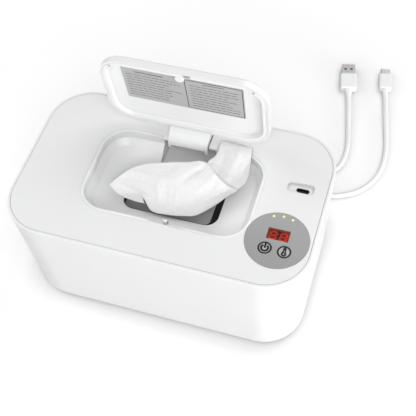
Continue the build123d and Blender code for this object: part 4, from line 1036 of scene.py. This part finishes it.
# the label has two columns of broken lines, each under a heading, with a frame round the right one
LABEL_DIVIDE = 2.2
LABEL_COLUMNS = ((LABEL_LOW.x + 2.4, LABEL_DIVIDE - 2.6), (LABEL_DIVIDE + 3.4, LABEL_HIGH.x - 3.2))
LABEL_FRAME = (LABEL_DIVIDE, LABEL_LOW.y + 0.7, LABEL_HIGH.x - 0.7, LABEL_HIGH.y - 0.7)
FRAME_WIDTH = 0.5
RULE_SEED = 5
RULE_ROWS = 9
RULE_WIDTH = 0.50
RULE_PITCH = 2.9
RULE_GAP = 0.7
RULE_LENGTHS = (2.0, 6.5)
FIRST_RULE = LABEL_LOW.y + 6.2
LAST_RULE = LABEL_HIGH.y - 2.6
HEADINGS = [
    (LABEL_LOW.x + 9.0, LABEL_LOW.y + 2.4, LABEL_LOW.x + 30.0, LABEL_LOW.y + 3.5),
    (LABEL_DIVIDE + 13.0, LABEL_LOW.y + 2.6, LABEL_DIVIDE + 28.0, LABEL_LOW.y + 3.4),
]

chance = random.Random(RULE_SEED)
rules = []
for left, right in LABEL_COLUMNS:
    for row in range(RULE_ROWS):
        y = FIRST_RULE + row * RULE_PITCH
        if y > LAST_RULE:
            break
        x = left
        reach = left + (right - left) * chance.uniform(0.72, 1.0)
        while x < reach:
            length = chance.uniform(*RULE_LENGTHS)
            rules.append((x, y, min(x + length, reach), y + RULE_WIDTH))
            x += length + RULE_GAP
label_marks("label_rules", rules, "soft_ink")
label_marks("label_headings", HEADINGS, "pale_ink")
label_marks("label_frame", frame_bars(*LABEL_FRAME, FRAME_WIDTH), "ink")


# ---------------------------------------------------------------- floor, world and lights

FLOOR_HALF = 6.0
FLOOR_ALBEDO = 0.74
# the floor glows a little near the object and fully from GLOW_FAR on, so that it fades into the backdrop
FLOOR_GLOW = 0.27
GLOW_NEAR = 0.28
GLOW_FAR = 1.10
# close to the object the glow sinks with ambient occlusion: a painted contact shadow over the real one that
# the diffuse floor gets
CONTACT_REACH = 0.020
CONTACT_OPEN = (0.45, 0.98)
CONTACT_SAMPLES = 12
WORLD_LIGHT = 0.20


def product(tree, first, second):
    node = add_node(tree, "Math")
    node.operation = "MULTIPLY"
    tree.links.new(first, node.inputs[0])
    tree.links.new(second, node.inputs[1])
    return node.outputs["Value"]


floor_corners = ((-1, -1), (1, -1), (1, 1), (-1, 1))
floor_points = [Vector((x * FLOOR_HALF, y * FLOOR_HALF, 0)) for x, y in floor_corners]
floor_mesh = mesh_of("floor", floor_points, [(0, 1, 2, 3)], smooth=False)
floor_material = bpy.data.materials.new("floor")
floor_material.use_nodes = True
tree = floor_material.node_tree
tree.nodes.clear()
distance = add_node(tree, "VectorMath")
distance.operation = "LENGTH"
tree.links.new(add_node(tree, "TexCoord").outputs["Object"], distance.inputs[0])
fade = add_node(tree, "MapRange", From_Min=GLOW_NEAR, From_Max=GLOW_FAR, To_Min=FLOOR_GLOW, To_Max=1.0)
tree.links.new(distance.outputs["Value"], fade.inputs["Value"])
contact = add_node(tree, "AmbientOcclusion", Distance=CONTACT_REACH)
contact.samples = CONTACT_SAMPLES
open_share = add_node(tree, "MapRange", From_Min=CONTACT_OPEN[0], From_Max=CONTACT_OPEN[1])
tree.links.new(contact.outputs["AO"], open_share.inputs["Value"])
level = product(tree, fade.outputs["Result"], open_share.outputs["Result"])
level_seen = product(tree, add_node(tree, "LightPath").outputs["Is Camera Ray"], level)
diffuse = add_node(tree, "BsdfDiffuse", Color=(*grey(FLOOR_ALBEDO), 1))
glow = add_node(tree, "Emission", Color=(1, 1, 1, 1))
tree.links.new(level_seen, glow.inputs["Strength"])
both = add_node(tree, "AddShader")
tree.links.new(diffuse.outputs["BSDF"], both.inputs[0])
tree.links.new(glow.outputs["Emission"], both.inputs[1])
tree.links.new(both.outputs["Shader"], add_node(tree, "OutputMaterial").inputs["Surface"])
floor_mesh.materials.append(floor_material)
floor = bpy.data.objects.new("floor", floor_mesh)
COLLECTION.objects.link(floor)

# the camera sees a white backdrop, and the pieces are lit by a weaker one
world = bpy.data.worlds.new("studio")
SCENE.world = world
world.use_nodes = True
tree = world.node_tree
tree.nodes.clear()
ambient = add_node(tree, "Background", Color=(1, 1, 1, 1), Strength=WORLD_LIGHT)
backdrop = add_node(tree, "Background", Color=(1, 1, 1, 1), Strength=1.0)
seen = add_node(tree, "MixShader")
tree.links.new(add_node(tree, "LightPath").outputs["Is Camera Ray"], seen.inputs["Fac"])
tree.links.new(ambient.outputs["Background"], seen.inputs[1])
tree.links.new(backdrop.outputs["Background"], seen.inputs[2])
tree.links.new(seen.outputs["Shader"], add_node(tree, "OutputWorld").inputs["Surface"])


def softbox(name, place, toward, size, power):
    """A rectangular lamp that the camera doesn't see."""
    data = bpy.data.lights.new(name, "AREA")
    data.shape = "RECTANGLE"
    data.size, data.size_y = size
    data.energy = power
    softbox_object = bpy.data.objects.new(name, data)
    COLLECTION.objects.link(softbox_object)
    softbox_object.location = place
    softbox_object.rotation_euler = (Vector(toward) - Vector(place)).to_track_quat("-Z", "Y").to_euler()
    softbox_object.visible_camera = False


# name, place, what it points at, width and height, watts
softbox("key_light", (0.45, 0.75, 1.20), (0, 0, 0.08), (0.9, 0.7), 6.2)
softbox("front_light", (-0.45, -1.05, 0.75), (0, 0, 0.05), (1.1, 0.7), 3.0)
softbox("side_light", (1.25, -0.45, 0.12), (0.1, 0, 0.05), (0.6, 0.4), 14.5)
softbox("low_light", (0.15, -1.25, 0.30), (0, 0, 0.08), (1.2, 0.5), 0.3)
softbox("viewer_light", (0.45, -0.90, 1.30), (0, 0, 0.08), (0.9, 0.9), 12.2)
softbox("left_light", (-1.05, 0.10, 0.80), (0, 0, 0.08), (0.7, 0.7), 5.0)
softbox("low_left_light", (-1.15, -0.70, 0.22), (-0.05, 0, 0.05), (0.6, 0.4), 0.9)
